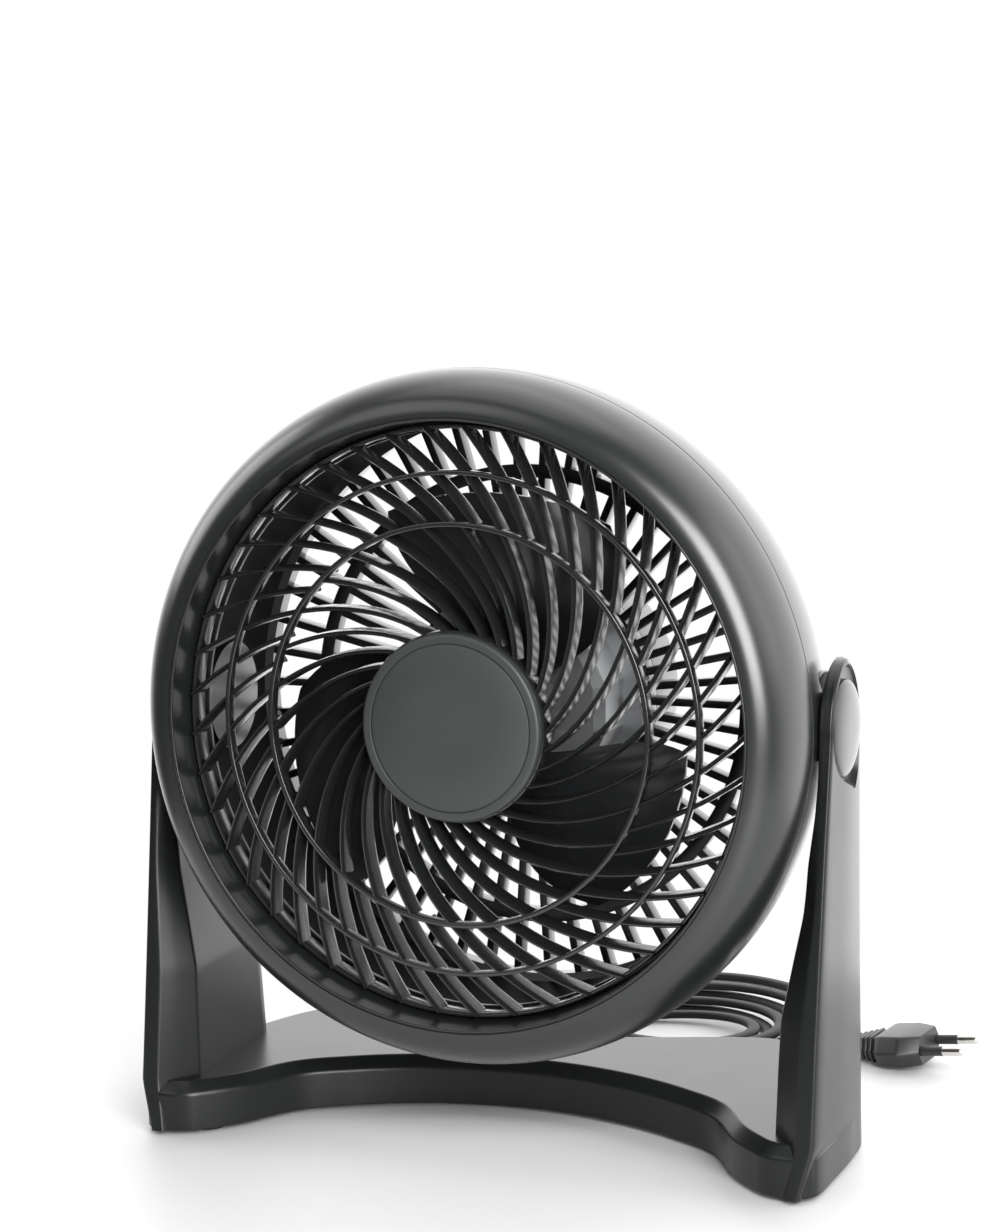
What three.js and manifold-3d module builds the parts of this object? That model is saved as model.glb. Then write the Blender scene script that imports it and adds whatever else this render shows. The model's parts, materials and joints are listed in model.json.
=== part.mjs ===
// A table-top air circulator fan: a round head with a swirl grille, tilting between the two
// arms of a flat forked stand. Millimetres, +Z up, the fan blows towards -Y.
// The head is drawn level: "f" is the distance forwards from its tilt axis, so y = -f.
import * as THREE from "three";
import { mergeVertices } from "three/addons/utils/BufferGeometryUtils.js";
import Module from "manifold-3d";

const wasm = await Module();
wasm.setup();

// ---- Driving dimensions --------------------------------------------------------------

const fitGap = 0.3;               // clearance between two pieces that rest on each other
const runningGap = 0.6;           // clearance round a piece that turns

// Head: front bezel, rear housing and grilles
const lipRadius = 119.5;          // radius of the bezel's front lip
const lipWidth = 1.1;             // flat land between the lip's edge and the throat
const lipStep = 1;                // the throat starts this far behind the lip
const bezelBulge = 17.75;         // how far the bezel's skin swells outside its lip
const bezelRise = 27.5;           // depth of the bezel's skin, front to back
const seamF = 24;                 // where bezel and rear housing meet
const shellWall = 2.4;
const throatTaper = 1.6;          // the throat narrows by this much towards the fan
const throatWall = 2.2;
const ledgeF = 25;                // rear face of the ledge that carries the front grille
const ledgeDepth = 2.5;
const ledgeReach = 2.8;           // how far it stands into the throat
const spigotDepth = 4;            // rear housing's collar inside the bezel
const spigotGap = 1.2;            // collar to the bezel's curving skin
const bowlDepth = 60;             // rear housing, seam to rear rim
const bowlTaper = 15.5;           // the bowl's rear rim lies this far inside the seam's circle
const bowlSwell = 4.5;            // how far the bowl's side bows out of a plain cone

// Front grille
const hubPlateRadius = 37.5;
const innerRingRadius = 78.4;
const outerRingRadius = 98.1;
const ringWidth = 2;
const grilleRimWidth = 1.6;
const vaneWidth = 1.9;
const innerVanes = 30;
const outerVanes = 45;
const vanePhase = THREE.MathUtils.degToRad(4);
const vaneSweep = THREE.MathUtils.degToRad(54);   // turn of a vane for each e-fold of radius
const grilleCrownF = 46.5;        // front of the vanes at the hub
const grilleDrop = 6.5;           // how much lower they lie at the wall
const grilleDropPower = 3.5;
const grilleDepth = 10;

// Hub cap
const hubCapRadius = 36.9;
const hubCapHeight = 3.2;
const hubCapDiscRadius = 32.6;
const hubSpigotRadius = 13.7;
const hubSpigotDepth = 6;

// Rear grille
const rearRimWidth = 5.5;         // solid rim round the rear openings
const rimStep = 0.5;              // the rear rim stands proud of the grille by this much
const rearRingRadius = 92;
const rearRingWidth = 5.5;
const rearRibs = 54;
const rearRibWidth = 3.2;
const rearGrilleF = -38;          // front face of the rear grille
const rearGrilleDepth = 7;

// Impeller
const bladeCount = 3;
const bladeTipRadius = 88;
const bladeSpan = THREE.MathUtils.degToRad(75);
const bladeSweep = THREE.MathUtils.degToRad(22);
const bladeFirst = THREE.MathUtils.degToRad(64);  // the first blade's middle at its root
const bladeCamber = 3;
const bladeFrontF = 25;
const bladeRearF = -3;
const bladeThickness = 2.2;
const impellerHubRadius = 26;
const impellerHubFrontF = 28;
const impellerHubDepth = 28;
const hubBossRadius = 8;

// Motor, on the head's axis
const shaftRadius = 4;
const shaftFrontF = 31.5;
const shaftRearF = -61;
const nutRadius = 9;
const nutHeight = 6;
const bearingRadius = 11;
const bearingWidth = 7;
const rotorRadius = 22;
const statorRadius = 39.7;
const statorDepth = 20;
const statorFrontF = -22.5;
const windingDepth = 9.6;
const windingInner = 24;
const windingInset = 4.2;         // core's outside to a winding's
const bellWall = 2.4;
const bellFrontF = -9;
const bellFlangeWidth = 8.1;
const bellFlangeDepth = 3;
const bearingBossRadius = 14;
const bearingBossRise = 3.5;      // front bearing's boss proud of the bell
const motorScrewRadius = 1.9;
const motorScrewHeadRadius = 3.1;
const motorScrewHeadHeight = 2.4;
const motorCoverLap = 1.5;        // motor cover's radius beyond the bell's flange
const motorCoverDepth = 35;
const motorCoverWall = 2.2;
const capacitorSize = { width: 30, height: 13, depth: 17 };
const capacitorDrop = 30;         // below the axis

// Speed switch and its knob at the back
const switchSize = { width: 25, height: 25, depth: 12 };
const switchShaftRadius = 3;
const speedKnobRadius = 16;
const speedKnobHeight = 9;
const speedGripWidth = 6;
const speedGripHeight = 4;

// Tilt pivots
const restTilt = THREE.MathUtils.degToRad(2);
const armClearance = 1.35;        // bezel's widest circle to the arms
const bossRadius = 22;
const bossRecess = 3;             // arm's inner face to the boss
const bossRoot = 20;              // the boss starts this far inside the bowl's widest circle
const washerRadius = 14;
const boltRadius = 4;
const boltHeadRadius = 8;
const boltHeadHeight = 2.4;
const boltReach = 19;             // into the boss
const capRadius = 19;
const capHeight = 5;
const capWall = 1.8;
const pocketGap = 0.5;            // round the cap
const pocketFloor = 2.4;          // arm's thickness inside the pocket
const toolReach = 20;             // how far a cutting tool runs on past what it cuts

// Stand
const sweepClearance = 14.7;      // base plate to the swept head
const baseTopZ = 22;
const baseWallTopZ = 17.3;
const baseBevel = 4.7;
const baseUnderZ = 2;
const standWall = 2.4;
const toeY = -45;
const lobeY = 94;
const lobeX = 88;
const waistFrontY = 27;           // bottom of the hollow in the front edge
const waistFrontRadius = 146;
const waistFrontHalf = 90;
const waistRearY = 74;
const armOuter = 5.4;             // outer face beyond the inner face at the pivot
const armEdge = 3.4;              // front edge beyond the inner face at the pivot
const armFootSpread = 15.6;       // how much nearer the middle the arm's foot starts
const armFrontFootY = -44.4;
const armFrontTopY = -20;
const armRearFootY = 36.5;
const armRearTopY = 29.5;
const armTopRise = 26.5;
const crownTurns = [20, 40, 58, 73, 84];          // degrees at which its round top is drawn
const wedgeFoot = 20;
const wedgeTop = 8;
const armHollowShare = 0.66;      // how far up the arm is hollow
const bottomCoverDepth = 2;
const bottomCoverZ = 2.6;
const bottomCoverGap = 0.4;
const postRadius = 4.5;
const screwRadius = 1.6;
const screwHoleRadius = 1.9;
const screwHeadRadius = 3.4;
const screwHeadHeight = 1.3;
const screwLength = 9.5;
const screwPlaces = [[108, -8], [70, 70]];
const footRadius = 7;
const footPlaces = [[120, -28], [100, 72]];

// Cord: a flat twin lead
const cordWidth = 5.6;
const cordHeight = 3.4;
const cordFloorGap = 0.3;
const layerGap = 0.6;
const glandZ = 11;
const glandLength = 28;
const glandNeckRadius = 4.5;
const glandCollarRadius = 6.8;
const glandTipRadius = 3.4;
const coilCentreX = 12;
const coilHalfWidth = 34;         // innermost loop
const coilHalfWidthStep = 10;
const coilFarY = 178;
const coilFarStep = 23;
const coilNearY = 122;
const coilNearStep = -6.5;
const coilLoopsDown = 3;          // loops on the floor, wound inwards
const coilLoopsUp = 1.95;         // loops on top of them, wound outwards
const coilStepsPerLoop = 24;

// Plug: flat, two pins
const plugFace = new THREE.Vector3(142, 138, 9.9);
const plugYaw = THREE.MathUtils.degToRad(-7);
const plugPitch = THREE.MathUtils.degToRad(7);
const plugWidth = 35;
const plugHeight = 13.7;
const plugBodyLength = 22;
const plugReliefLength = 24;
const pinRadius = 2;
const pinLength = 19;
const pinSpacing = 18.6;

// Free stretches of the cord, chosen by hand
const leadPoints = [
  [-54.37, 116.36, 11], [-52.64, 122.1, 10.9], [-50.9, 131.5, 9], [-50.8, 143, 5.2],
  [-51.8, 154, 2.7], [-52.3, 162.95, 2], [-52.15, 168.85, 2],
];
const tailPoints = [
  [64.84, 178.06, 6], [66.79, 172.49, 6], [69, 165.9, 6.1], [71.3, 159.1, 6.1], [75.2, 152.2, 6],
  [81, 147.2, 5], [85.6, 145.2, 3.9], [90.87, 144.28, 3.57], [96.39, 143.6, 4.26],
];

// ---- Sizes that follow from them -----------------------------------------------------

const rimRadius = lipRadius + bezelBulge;
const lipF = seamF + bezelRise;
const throatRadius = lipRadius - lipWidth;
const throatRearRadius = throatRadius - throatTaper;
const spigotRadius = rimRadius - shellWall - spigotGap;
const bowlRearRadius = rimRadius - bowlTaper;
const rearOpenRadius = bowlRearRadius - rearRimWidth;
const rearRimF = rearGrilleF - rearGrilleDepth - rimStep;
const grilleRimRadius = throatRearRadius - runningGap;
const sweepRadius = Math.hypot(rimRadius, seamF);
const pivotZ = baseTopZ + sweepClearance + sweepRadius;
const armInner = rimRadius + armClearance;
const bossEnd = armInner - bossRecess;
const pocketRadius = capRadius + pocketGap;
const bellRadius = statorRadius + fitGap + bellWall;
const windingOuter = statorRadius - windingInset;
const bellFlangeRadius = bellRadius + bellFlangeWidth;
const motorCoverRadius = bellFlangeRadius + motorCoverLap;
const rearHubRadius = motorCoverRadius;
const bellFlangeF = rearGrilleF + fitGap;
const statorRearF = statorFrontF - statorDepth;
const coverFrontF = rearGrilleF - rearGrilleDepth - fitGap;
const coverRearF = coverFrontF - motorCoverDepth;
const rearBracketF = statorRearF - fitGap - windingDepth - runningGap - bellWall;
const frontBearingF = bellFrontF + bearingBossRise;
const rearBearingF = rearBracketF + bellWall / 2;
const coilLoops = coilLoopsDown + coilLoopsUp + 0.5;
const cordLowZ = cordFloorGap + cordHeight / 2;
const cordHighZ = cordLowZ + cordHeight + layerGap;

// ---- Finishes ------------------------------------------------------------------------

function finish(color, roughness, metalness = 0) {
  return () => new THREE.MeshStandardMaterial({ color, roughness, metalness });
}

const satinPlastic = finish(0x3b3d3e, 0.42);
const glossPlastic = finish(0x18191a, 0.22);
const bladePlastic = finish(0x2b2c2d, 0.3);
const softRubber = finish(0x1b1b1c, 0.85);
const cordPlastic = finish(0x202122, 0.55);
const nickel = finish(0xcfcfca, 0.18, 1);
const steel = finish(0x9fa1a3, 0.35, 1);
const castAlloy = finish(0xaaacae, 0.5, 1);
const laminations = finish(0x6f7174, 0.55, 1);
const copper = finish(0xb06a3c, 0.4, 1);

// ---- Geometry helpers ----------------------------------------------------------------

const weld = 1e-4;
const ringSegments = 48;
const midSegments = 24;
const hiddenSegments = 14;
const smallSegments = 12;

// Six times the volume that a mesh encloses: negative where its faces point inwards.
function signedVolume(position, index) {
  const corners = [new THREE.Vector3(), new THREE.Vector3(), new THREE.Vector3()];
  let volume = 0;
  for (let i = 0; i < index.length; i += 3) {
    corners.forEach((corner, k) => corner.fromBufferAttribute(position, index[i + k]));
    volume += corners[0].dot(corners[1].clone().cross(corners[2]));
  }
  return volume;
}

// One vertex at each place, no empty triangles, faces pointing outwards.
function closed(geometry) {
  const bare = geometry.clone();
  bare.deleteAttribute("normal");
  bare.deleteAttribute("uv");
  const merged = mergeVertices(bare, weld);
  const position = merged.getAttribute("position");
  const index = [];
  for (let i = 0; i < merged.index.count; i += 3) {
    const [a, b, c] = [0, 1, 2].map((k) => merged.index.getX(i + k));
    if (a !== b && b !== c && c !== a) {
      index.push(a, b, c);
    }
  }
  if (signedVolume(position, index) < 0) {
    for (let i = 0; i < index.length; i += 3) {
      [index[i + 1], index[i + 2]] = [index[i + 2], index[i + 1]];
    }
  }
  merged.setIndex(index);
  return merged;
}

function solid(geometry) {
  const mesh = closed(geometry);
  return new wasm.Manifold(new wasm.Mesh({
    numProp: 3,
    vertProperties: new Float32Array(mesh.getAttribute("position").array),
    triVerts: new Uint32Array(mesh.index.array),
  }));
}

function fromSolid(body) {
  const mesh = body.getMesh();
  const geometry = new THREE.BufferGeometry();
  geometry.setAttribute("position", new THREE.BufferAttribute(mesh.vertProperties, 3));
  geometry.setIndex(new THREE.BufferAttribute(mesh.triVerts, 1));
  return geometry;
}

function join(first, ...others) {
  return others.reduce((body, next) => body.add(solid(next)), solid(first));
}

function cut(body, ...tools) {
  return tools.reduce((left, tool) => left.subtract(solid(tool)), body);
}

const turnOf = {
  front: (geometry) => geometry.rotateX(Math.PI),
  x: (geometry) => geometry.rotateZ(-Math.PI / 2),
  z: (geometry) => geometry.rotateX(Math.PI / 2),
};

// Closed profile of [radius, place along the axis] pairs, turned about that axis.
function turned(profile, axis, segments = midSegments) {
  const points = profile.map(([radius, along]) => new THREE.Vector2(radius, along));
  if (profile.at(0)[0] > 0) {
    points.push(points[0].clone());
  }
  return turnOf[axis](new THREE.LatheGeometry(points, segments));
}

function rod(radius, from, to, axis, segments = smallSegments) {
  return turned([[0, from], [radius, from], [radius, to], [0, to]], axis, segments);
}

function tubeRing(inner, outer, from, to, axis, segments = midSegments) {
  return turned([[inner, from], [outer, from], [outer, to], [inner, to]], axis, segments);
}

// Flat shape drawn as seen from the front, made solid from f = from forwards.
function facing(shape, from, depth, curveSegments = smallSegments) {
  const geometry = new THREE.ExtrudeGeometry(shape, { depth, bevelEnabled: false, curveSegments });
  return geometry.translate(0, 0, from).rotateX(Math.PI / 2);
}

// Solid through a stack of outlines with the same number of points each.
function loft(rings) {
  const count = rings[0].length;
  const positions = rings.flat(2);
  const index = [];
  for (let k = 0; k + 1 < rings.length; k += 1) {
    for (let i = 0; i < count; i += 1) {
      const a = k * count + i;
      const b = k * count + ((i + 1) % count);
      index.push(a, b, b + count, a, b + count, a + count);
    }
  }
  const top = (rings.length - 1) * count;
  const flat = (ring) => ring.map(([x, y]) => new THREE.Vector2(x, y));
  THREE.ShapeUtils.triangulateShape(flat(rings[0]), []).forEach(([a, b, c]) => index.push(c, b, a));
  THREE.ShapeUtils.triangulateShape(flat(rings.at(-1)), [])
    .forEach(([a, b, c]) => index.push(top + a, top + b, top + c));
  const geometry = new THREE.BufferGeometry();
  geometry.setAttribute("position", new THREE.Float32BufferAttribute(positions, 3));
  geometry.setIndex(index);
  return geometry;
}

// Outline drawn in by a distance, each corner moved along its mitre.
function inset(outline, distance) {
  return outline.map(([x, y], i) => {
    const [px, py] = outline.at(i - 1);
    const [nx, ny] = outline[(i + 1) % outline.length];
    const before = new THREE.Vector2(x - px, y - py).normalize();
    const after = new THREE.Vector2(nx - x, ny - y).normalize();
    const mitre = new THREE.Vector2(-before.y - after.y, before.x + after.x).normalize();
    const reach = distance / Math.max(0.5, mitre.dot(new THREE.Vector2(-before.y, before.x)));
    return [x + mitre.x * reach, y + mitre.y * reach];
  });
}

function atHeight(outline, z) {
  return outline.map(([x, y]) => [x, y, z]);
}

function mirrored(geometry) {
  return closed(geometry).scale(-1, 1, 1);
}

function part(name, geometry, material) {
  const mesh = new THREE.Mesh(closed(geometry), material());
  mesh.name = name;
  return mesh;
}

// ---- Head: shells and grilles --------------------------------------------------------

// Quarter ellipse of the bezel's skin, from the lip (0) to the seam (1), drawn in by a wall.
function bezelSkin(share, wall) {
  const angle = share * Math.PI / 2;
  return [lipRadius + (bezelBulge - wall) * Math.sin(angle),
    seamF + (bezelRise - wall) * Math.cos(angle)];
}

function frontBezel() {
  const outer = [0.18, 0.36, 0.56, 0.78, 1].map((share) => bezelSkin(share, 0));
  const inner = [1, 0.7, 0.35].map((share) => bezelSkin(share, shellWall));
  return turned([
    [throatRadius, lipF - lipStep],
    [throatRadius + lipWidth / 2, lipF],
    [lipRadius + 0.5, lipF],
    ...outer,
    ...inner,
    [throatRadius + throatWall, lipF - shellWall - lipStep],
    [throatRearRadius + throatWall, ledgeF],
    [throatRearRadius - ledgeReach, ledgeF],
    [throatRearRadius - ledgeReach, ledgeF + ledgeDepth],
    [throatRearRadius, ledgeF + ledgeDepth],
  ], "front", ringSegments);
}

// Half of the bowl's wall, seam (0) to rear rim (1): a cone that bows outwards.
function bowlWall(share, wall) {
  const cone = rimRadius + (bowlRearRadius - rimRadius) * share;
  const bow = bowlSwell * 4 * share * (1 - share);
  return [cone + bow - wall, seamF - fitGap - (bowlDepth - fitGap) * share];
}

function bowl() {
  const shares = [0, 0.45, 1];
  return turned([
    [spigotRadius, seamF + spigotDepth],
    [spigotRadius, seamF - fitGap],
    ...shares.map((share) => bowlWall(share, 0)),
    [bowlRearRadius - 1, rearRimF + 2],
    [bowlRearRadius - 2.5, rearRimF],
    [rearOpenRadius, rearRimF],
    [rearOpenRadius, rearGrilleF + rimStep],
    ...shares.toReversed().map((share) => bowlWall(share, shellWall)),
    [spigotRadius - shellWall, seamF + spigotDepth],
  ], "front", rearRibs);
}

function polar(radius, angle) {
  return [radius * Math.cos(angle), radius * Math.sin(angle)];
}

function shapeOf(outline) {
  return new THREE.Shape(outline.map(([x, y]) => new THREE.Vector2(x, y)));
}

function circleOutline(radius, count, centre = [0, 0]) {
  return Array.from({ length: count }, (_, i) => {
    const [x, y] = polar(radius, (2 * Math.PI * i) / count);
    return [centre[0] + x, centre[1] + y];
  });
}

function addHoles(shape, outlines) {
  outlines.forEach((outline) => shape.holes.push(shapeOf(outline)));
  return shape;
}

// Openings of one rear zone: the gaps left between straight radial ribs.
function rearOpenings(inner, outer) {
  const pitch = (2 * Math.PI) / rearRibs;
  return Array.from({ length: rearRibs }, (_, i) => {
    const low = i * pitch;
    const corner = (radius, side) => {
      const half = Math.asin(rearRibWidth / 2 / radius);
      return polar(radius, side < 0 ? low + half : low + pitch - half);
    };
    return [corner(inner, -1), corner(outer, -1), corner(outer, 1), corner(inner, 1)];
  });
}

function motorScrewPlaces() {
  const radius = (bellRadius + bellFlangeRadius) / 2;
  return [[radius, 0], [-radius, 0]];
}

function rearGrille() {
  const plate = shapeOf(circleOutline(rearOpenRadius + 1, rearRibs));
  addHoles(plate, rearOpenings(rearHubRadius, rearRingRadius - rearRingWidth / 2));
  addHoles(plate, rearOpenings(rearRingRadius + rearRingWidth / 2, rearOpenRadius - 1));
  addHoles(plate, [circleOutline(statorRadius + 2 * runningGap, midSegments)]);
  addHoles(plate, motorScrewPlaces().map((at) => circleOutline(motorScrewRadius + fitGap, 8, at)));
  return facing(plate, rearGrilleF - rearGrilleDepth, rearGrilleDepth);
}

// Pivot bosses stand out of the bowl's sides, bored for the bolts. Where the bowl reaches
// past a boss's face, a round spot face keeps clear of the washer.
function rearHousing() {
  const boss = rod(bossRadius, rimRadius - bossRoot, bossEnd, "x", midSegments);
  const bore = rod(boltRadius + fitGap, bossEnd - boltReach, bossEnd + 1, "x");
  const spotStart = bossEnd + fitGap / 2;
  const spotFace = rod(washerRadius + runningGap, spotStart, bossEnd + toolReach, "x", hiddenSegments);
  const bosses = [boss, mirrored(boss)];
  const cuts = [bore, mirrored(bore), spotFace, mirrored(spotFace)];
  return fromSolid(cut(join(bowl(), rearGrille(), ...bosses), ...cuts));
}

function grilleFrontF(radius) {
  return grilleCrownF - grilleDrop * (radius / grilleRimRadius) ** grilleDropPower;
}

// Openings of one zone of the front grille, between two swirling vanes.
function swirlOpenings(inner, outer, vanes, sideSteps, arcPoints) {
  const pitch = (2 * Math.PI) / vanes;
  const lean = Math.atan(vaneSweep);
  const edge = (radius, side, i) => {
    const half = vaneWidth / Math.cos(lean) / 2 / radius;
    const centre = vanePhase + vaneSweep * Math.log(radius / innerRingRadius) + i * pitch;
    return centre + (side < 0 ? half : pitch - half);
  };
  const radii = Array.from({ length: sideSteps + 1 },
    (_, k) => inner * (outer / inner) ** (k / sideSteps));
  return Array.from({ length: vanes }, (_, i) => {
    const up = radii.map((radius) => polar(radius, edge(radius, -1, i)));
    const down = radii.toReversed().map((radius) => polar(radius, edge(radius, 1, i)));
    const arc = Array.from({ length: arcPoints }, (_, k) => {
      const share = (k + 1) / (arcPoints + 1);
      return polar(outer, edge(outer, -1, i) * (1 - share) + edge(outer, 1, i) * share);
    });
    return [...up, ...arc, ...down];
  });
}

function frontGrille() {
  const half = ringWidth / 2;
  const plate = shapeOf(circleOutline(grilleRimRadius, outerVanes * 2));
  addHoles(plate, swirlOpenings(hubPlateRadius, innerRingRadius - half, innerVanes, 3, 0));
  addHoles(plate, swirlOpenings(innerRingRadius + half, outerRingRadius - half, outerVanes, 1, 0));
  addHoles(plate, swirlOpenings(outerRingRadius + half, grilleRimRadius - grilleRimWidth,
    outerVanes, 1, 0));
  addHoles(plate, [circleOutline(hubSpigotRadius + runningGap, midSegments)]);
  const geometry = facing(plate, 0, grilleDepth);
  const position = geometry.getAttribute("position");
  for (let i = 0; i < position.count; i += 1) {
    const radius = Math.hypot(position.getX(i), position.getZ(i));
    const behind = position.getY(i) + grilleDepth;
    const seat = ledgeF + ledgeDepth + fitGap;
    const rear = Math.max(seat, grilleFrontF(radius) - grilleDepth);
    const depth = grilleFrontF(radius) - rear;
    position.setY(i, -grilleFrontF(radius) + behind * depth / grilleDepth);
  }
  return geometry;
}

function hubCap() {
  const backF = grilleCrownF + fitGap;
  const faceF = backF + hubCapHeight;
  const groove = 0.5;
  return turned([
    [0, faceF],
    [hubCapDiscRadius, faceF],
    [hubCapDiscRadius + groove, faceF - groove],
    [hubCapDiscRadius + 2 * groove, faceF],
    [hubCapRadius - 1.2, faceF - 0.7],
    [hubCapRadius, faceF - 2],
    [hubCapRadius, backF],
    [hubSpigotRadius, backF],
    [hubSpigotRadius, backF - hubSpigotDepth],
    [0, backF - hubSpigotDepth],
  ], "front", 26);
}

// ---- Fan -----------------------------------------------------------------------------

// Closed slab between two grids of points, (steps + 1) by (steps + 1).
function gridSlab(pointAt, along, across) {
  const rows = [0, 1].flatMap((side) =>
    Array.from({ length: along + 1 }, (_, i) =>
      Array.from({ length: across + 1 }, (_, k) => pointAt(i / along, k / across, side))));
  const id = (side, i, k) => (side * (along + 1) + i) * (across + 1) + k;
  const index = [];
  const quad = (a, b, c, d) => index.push(a, b, c, a, c, d);
  for (let i = 0; i < along; i += 1) {
    for (let k = 0; k < across; k += 1) {
      quad(id(0, i, k), id(0, i, k + 1), id(0, i + 1, k + 1), id(0, i + 1, k));
      quad(id(1, i, k), id(1, i + 1, k), id(1, i + 1, k + 1), id(1, i, k + 1));
    }
    quad(id(0, i, 0), id(0, i + 1, 0), id(1, i + 1, 0), id(1, i, 0));
    quad(id(0, i + 1, across), id(0, i, across), id(1, i, across), id(1, i + 1, across));
  }
  for (let k = 0; k < across; k += 1) {
    quad(id(0, 0, k + 1), id(0, 0, k), id(1, 0, k), id(1, 0, k + 1));
    quad(id(0, along, k), id(0, along, k + 1), id(1, along, k + 1), id(1, along, k));
  }
  const geometry = new THREE.BufferGeometry();
  geometry.setAttribute("position", new THREE.Float32BufferAttribute(rows.flat(2), 3));
  geometry.setIndex(index);
  return geometry;
}

// A broad pitched blade: its front edge leads, and it leans back towards the tip.
function blade(centreAngle) {
  const rootRadius = impellerHubRadius - 1.5;
  return gridSlab((out, over, side) => {
    const radius = rootRadius + (bladeTipRadius - rootRadius) * out;
    const narrowing = 1 - 0.25 * (2 * out - 1) ** 2;
    const angle = centreAngle + bladeSweep * out + bladeSpan * (over - 0.5) * narrowing;
    const camber = bladeCamber * Math.sin(Math.PI * over);
    const f = bladeRearF + (bladeFrontF - bladeRearF) * over + camber - side * bladeThickness;
    const [x, z] = polar(radius, angle);
    return [x, -f, z];
  }, 4, 4);
}

function impeller() {
  const wall = 2.5;
  const rearF = impellerHubFrontF - impellerHubDepth;
  const rim = 5;
  const hub = turned([
    [shaftRadius + fitGap, impellerHubFrontF],
    [impellerHubRadius - rim, impellerHubFrontF],
    [impellerHubRadius - 1.3, impellerHubFrontF - 1.6],
    [impellerHubRadius, impellerHubFrontF - rim],
    [impellerHubRadius, rearF],
    [impellerHubRadius - wall, rearF],
    [impellerHubRadius - wall, impellerHubFrontF - rim],
    [hubBossRadius, impellerHubFrontF - wall - 1],
    [hubBossRadius, rearF + 2],
    [shaftRadius + fitGap, rearF + 2],
  ], "front");
  const hollow = tubeRing(hubBossRadius, impellerHubRadius - wall, rearF - 10,
    impellerHubFrontF - rim - 1, "front");
  const blades = Array.from({ length: bladeCount },
    (_, i) => blade(bladeFirst + (2 * Math.PI * i) / bladeCount));
  const eye = rod(hubBossRadius + 1, bladeRearF - toolReach, impellerHubFrontF + toolReach, "front");
  const bladesOnly = cut(join(...blades), hollow, eye);
  return fromSolid(solid(hub).add(bladesOnly));
}

function impellerNut() {
  const seatF = impellerHubFrontF + fitGap;
  const boreF = shaftFrontF + fitGap;
  return turned([
    [shaftRadius + fitGap, seatF], [nutRadius, seatF], [nutRadius, seatF + 2.6],
    [nutRadius - 3, seatF + nutHeight], [0, seatF + nutHeight], [0, boreF],
    [shaftRadius + fitGap, boreF],
  ], "front", 12);
}

// ---- Motor ---------------------------------------------------------------------------

function motorShaft() {
  return rod(shaftRadius, shaftRearF, shaftFrontF, "front");
}

function rotor() {
  return tubeRing(shaftRadius + fitGap, rotorRadius, statorRearF, statorFrontF, "front", hiddenSegments);
}

function statorCore() {
  return tubeRing(rotorRadius + runningGap, statorRadius, statorRearF, statorFrontF, "front",
    hiddenSegments);
}

function winding(fromF) {
  const round = 2.5;
  const toF = fromF + windingDepth;
  return turned([
    [windingInner, fromF], [windingOuter - round, fromF], [windingOuter, fromF + round],
    [windingOuter, toF - round], [windingOuter - round, toF], [windingInner, toF],
  ], "front", hiddenSegments);
}

// Bell that holds the motor: bearing boss, front wall, skirt round the core, screwed flange.
function frontBracket() {
  const bossFront = frontBearingF + fitGap;
  const seat = bearingRadius + fitGap;
  const inner = bellRadius - bellWall;
  const bell = turned([
    [seat, bossFront], [bearingBossRadius, bossFront], [bearingBossRadius, bellFrontF],
    [bellRadius - 4, bellFrontF], [bellRadius, bellFrontF - 4],
    [bellRadius, bellFlangeF + bellFlangeDepth], [bellFlangeRadius, bellFlangeF + bellFlangeDepth],
    [bellFlangeRadius, bellFlangeF], [inner, bellFlangeF], [inner, bellFrontF - 4],
    [inner - 2, bellFrontF - bellWall], [seat, bellFrontF - bellWall],
  ], "front", hiddenSegments);
  const holes = motorScrewPlaces().map(([x, z]) =>
    rod(motorScrewRadius + fitGap, bellFlangeF - 1, bellFlangeF + bellFlangeDepth + 1, "front", 8)
      .translate(x, 0, z));
  return fromSolid(cut(solid(bell), ...holes));
}

// Cup behind the core: its skirt bears on the laminations, its boss holds the rear bearing.
function rearBracket() {
  const seat = bearingRadius + fitGap;
  const skirtF = statorRearF - fitGap;
  return turned([
    [statorRadius, skirtF], [statorRadius - bellWall, skirtF],
    [statorRadius - bellWall, rearBracketF + bellWall], [seat, rearBracketF + bellWall],
    [seat, rearBearingF - bearingWidth], [bearingBossRadius, rearBearingF - bearingWidth],
    [bearingBossRadius, rearBracketF], [statorRadius, rearBracketF],
  ], "front", hiddenSegments);
}

function bearing(frontFace) {
  return tubeRing(shaftRadius + fitGap, bearingRadius, frontFace - bearingWidth, frontFace,
    "front", hiddenSegments);
}

function motorScrew() {
  const seatF = bellFlangeF + bellFlangeDepth + fitGap;
  return turned([
    [0, seatF + motorScrewHeadHeight], [motorScrewHeadRadius, seatF + motorScrewHeadHeight],
    [motorScrewHeadRadius, seatF], [motorScrewRadius, seatF],
    [motorScrewRadius, rearGrilleF - rearGrilleDepth], [0, rearGrilleF - rearGrilleDepth],
  ], "front", 8);
}

function motorCover() {
  const inner = motorCoverRadius - motorCoverWall;
  const innerRear = coverRearF + motorCoverWall;
  const bore = switchShaftRadius + runningGap;
  const round = 6;
  return turned([
    [inner, coverFrontF], [motorCoverRadius, coverFrontF],
    [motorCoverRadius, coverRearF + round],
    [motorCoverRadius - round / 3, coverRearF + round / 3], [motorCoverRadius - round, coverRearF],
    [bore, coverRearF], [bore, innerRear], [inner - round, innerRear],
    [inner, innerRear + round],
  ], "front");
}

function boxAt(width, height, fromF, depth, drop) {
  const geometry = new THREE.BoxGeometry(width, depth, height);
  return geometry.translate(0, -(fromF + depth / 2), -drop);
}

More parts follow.
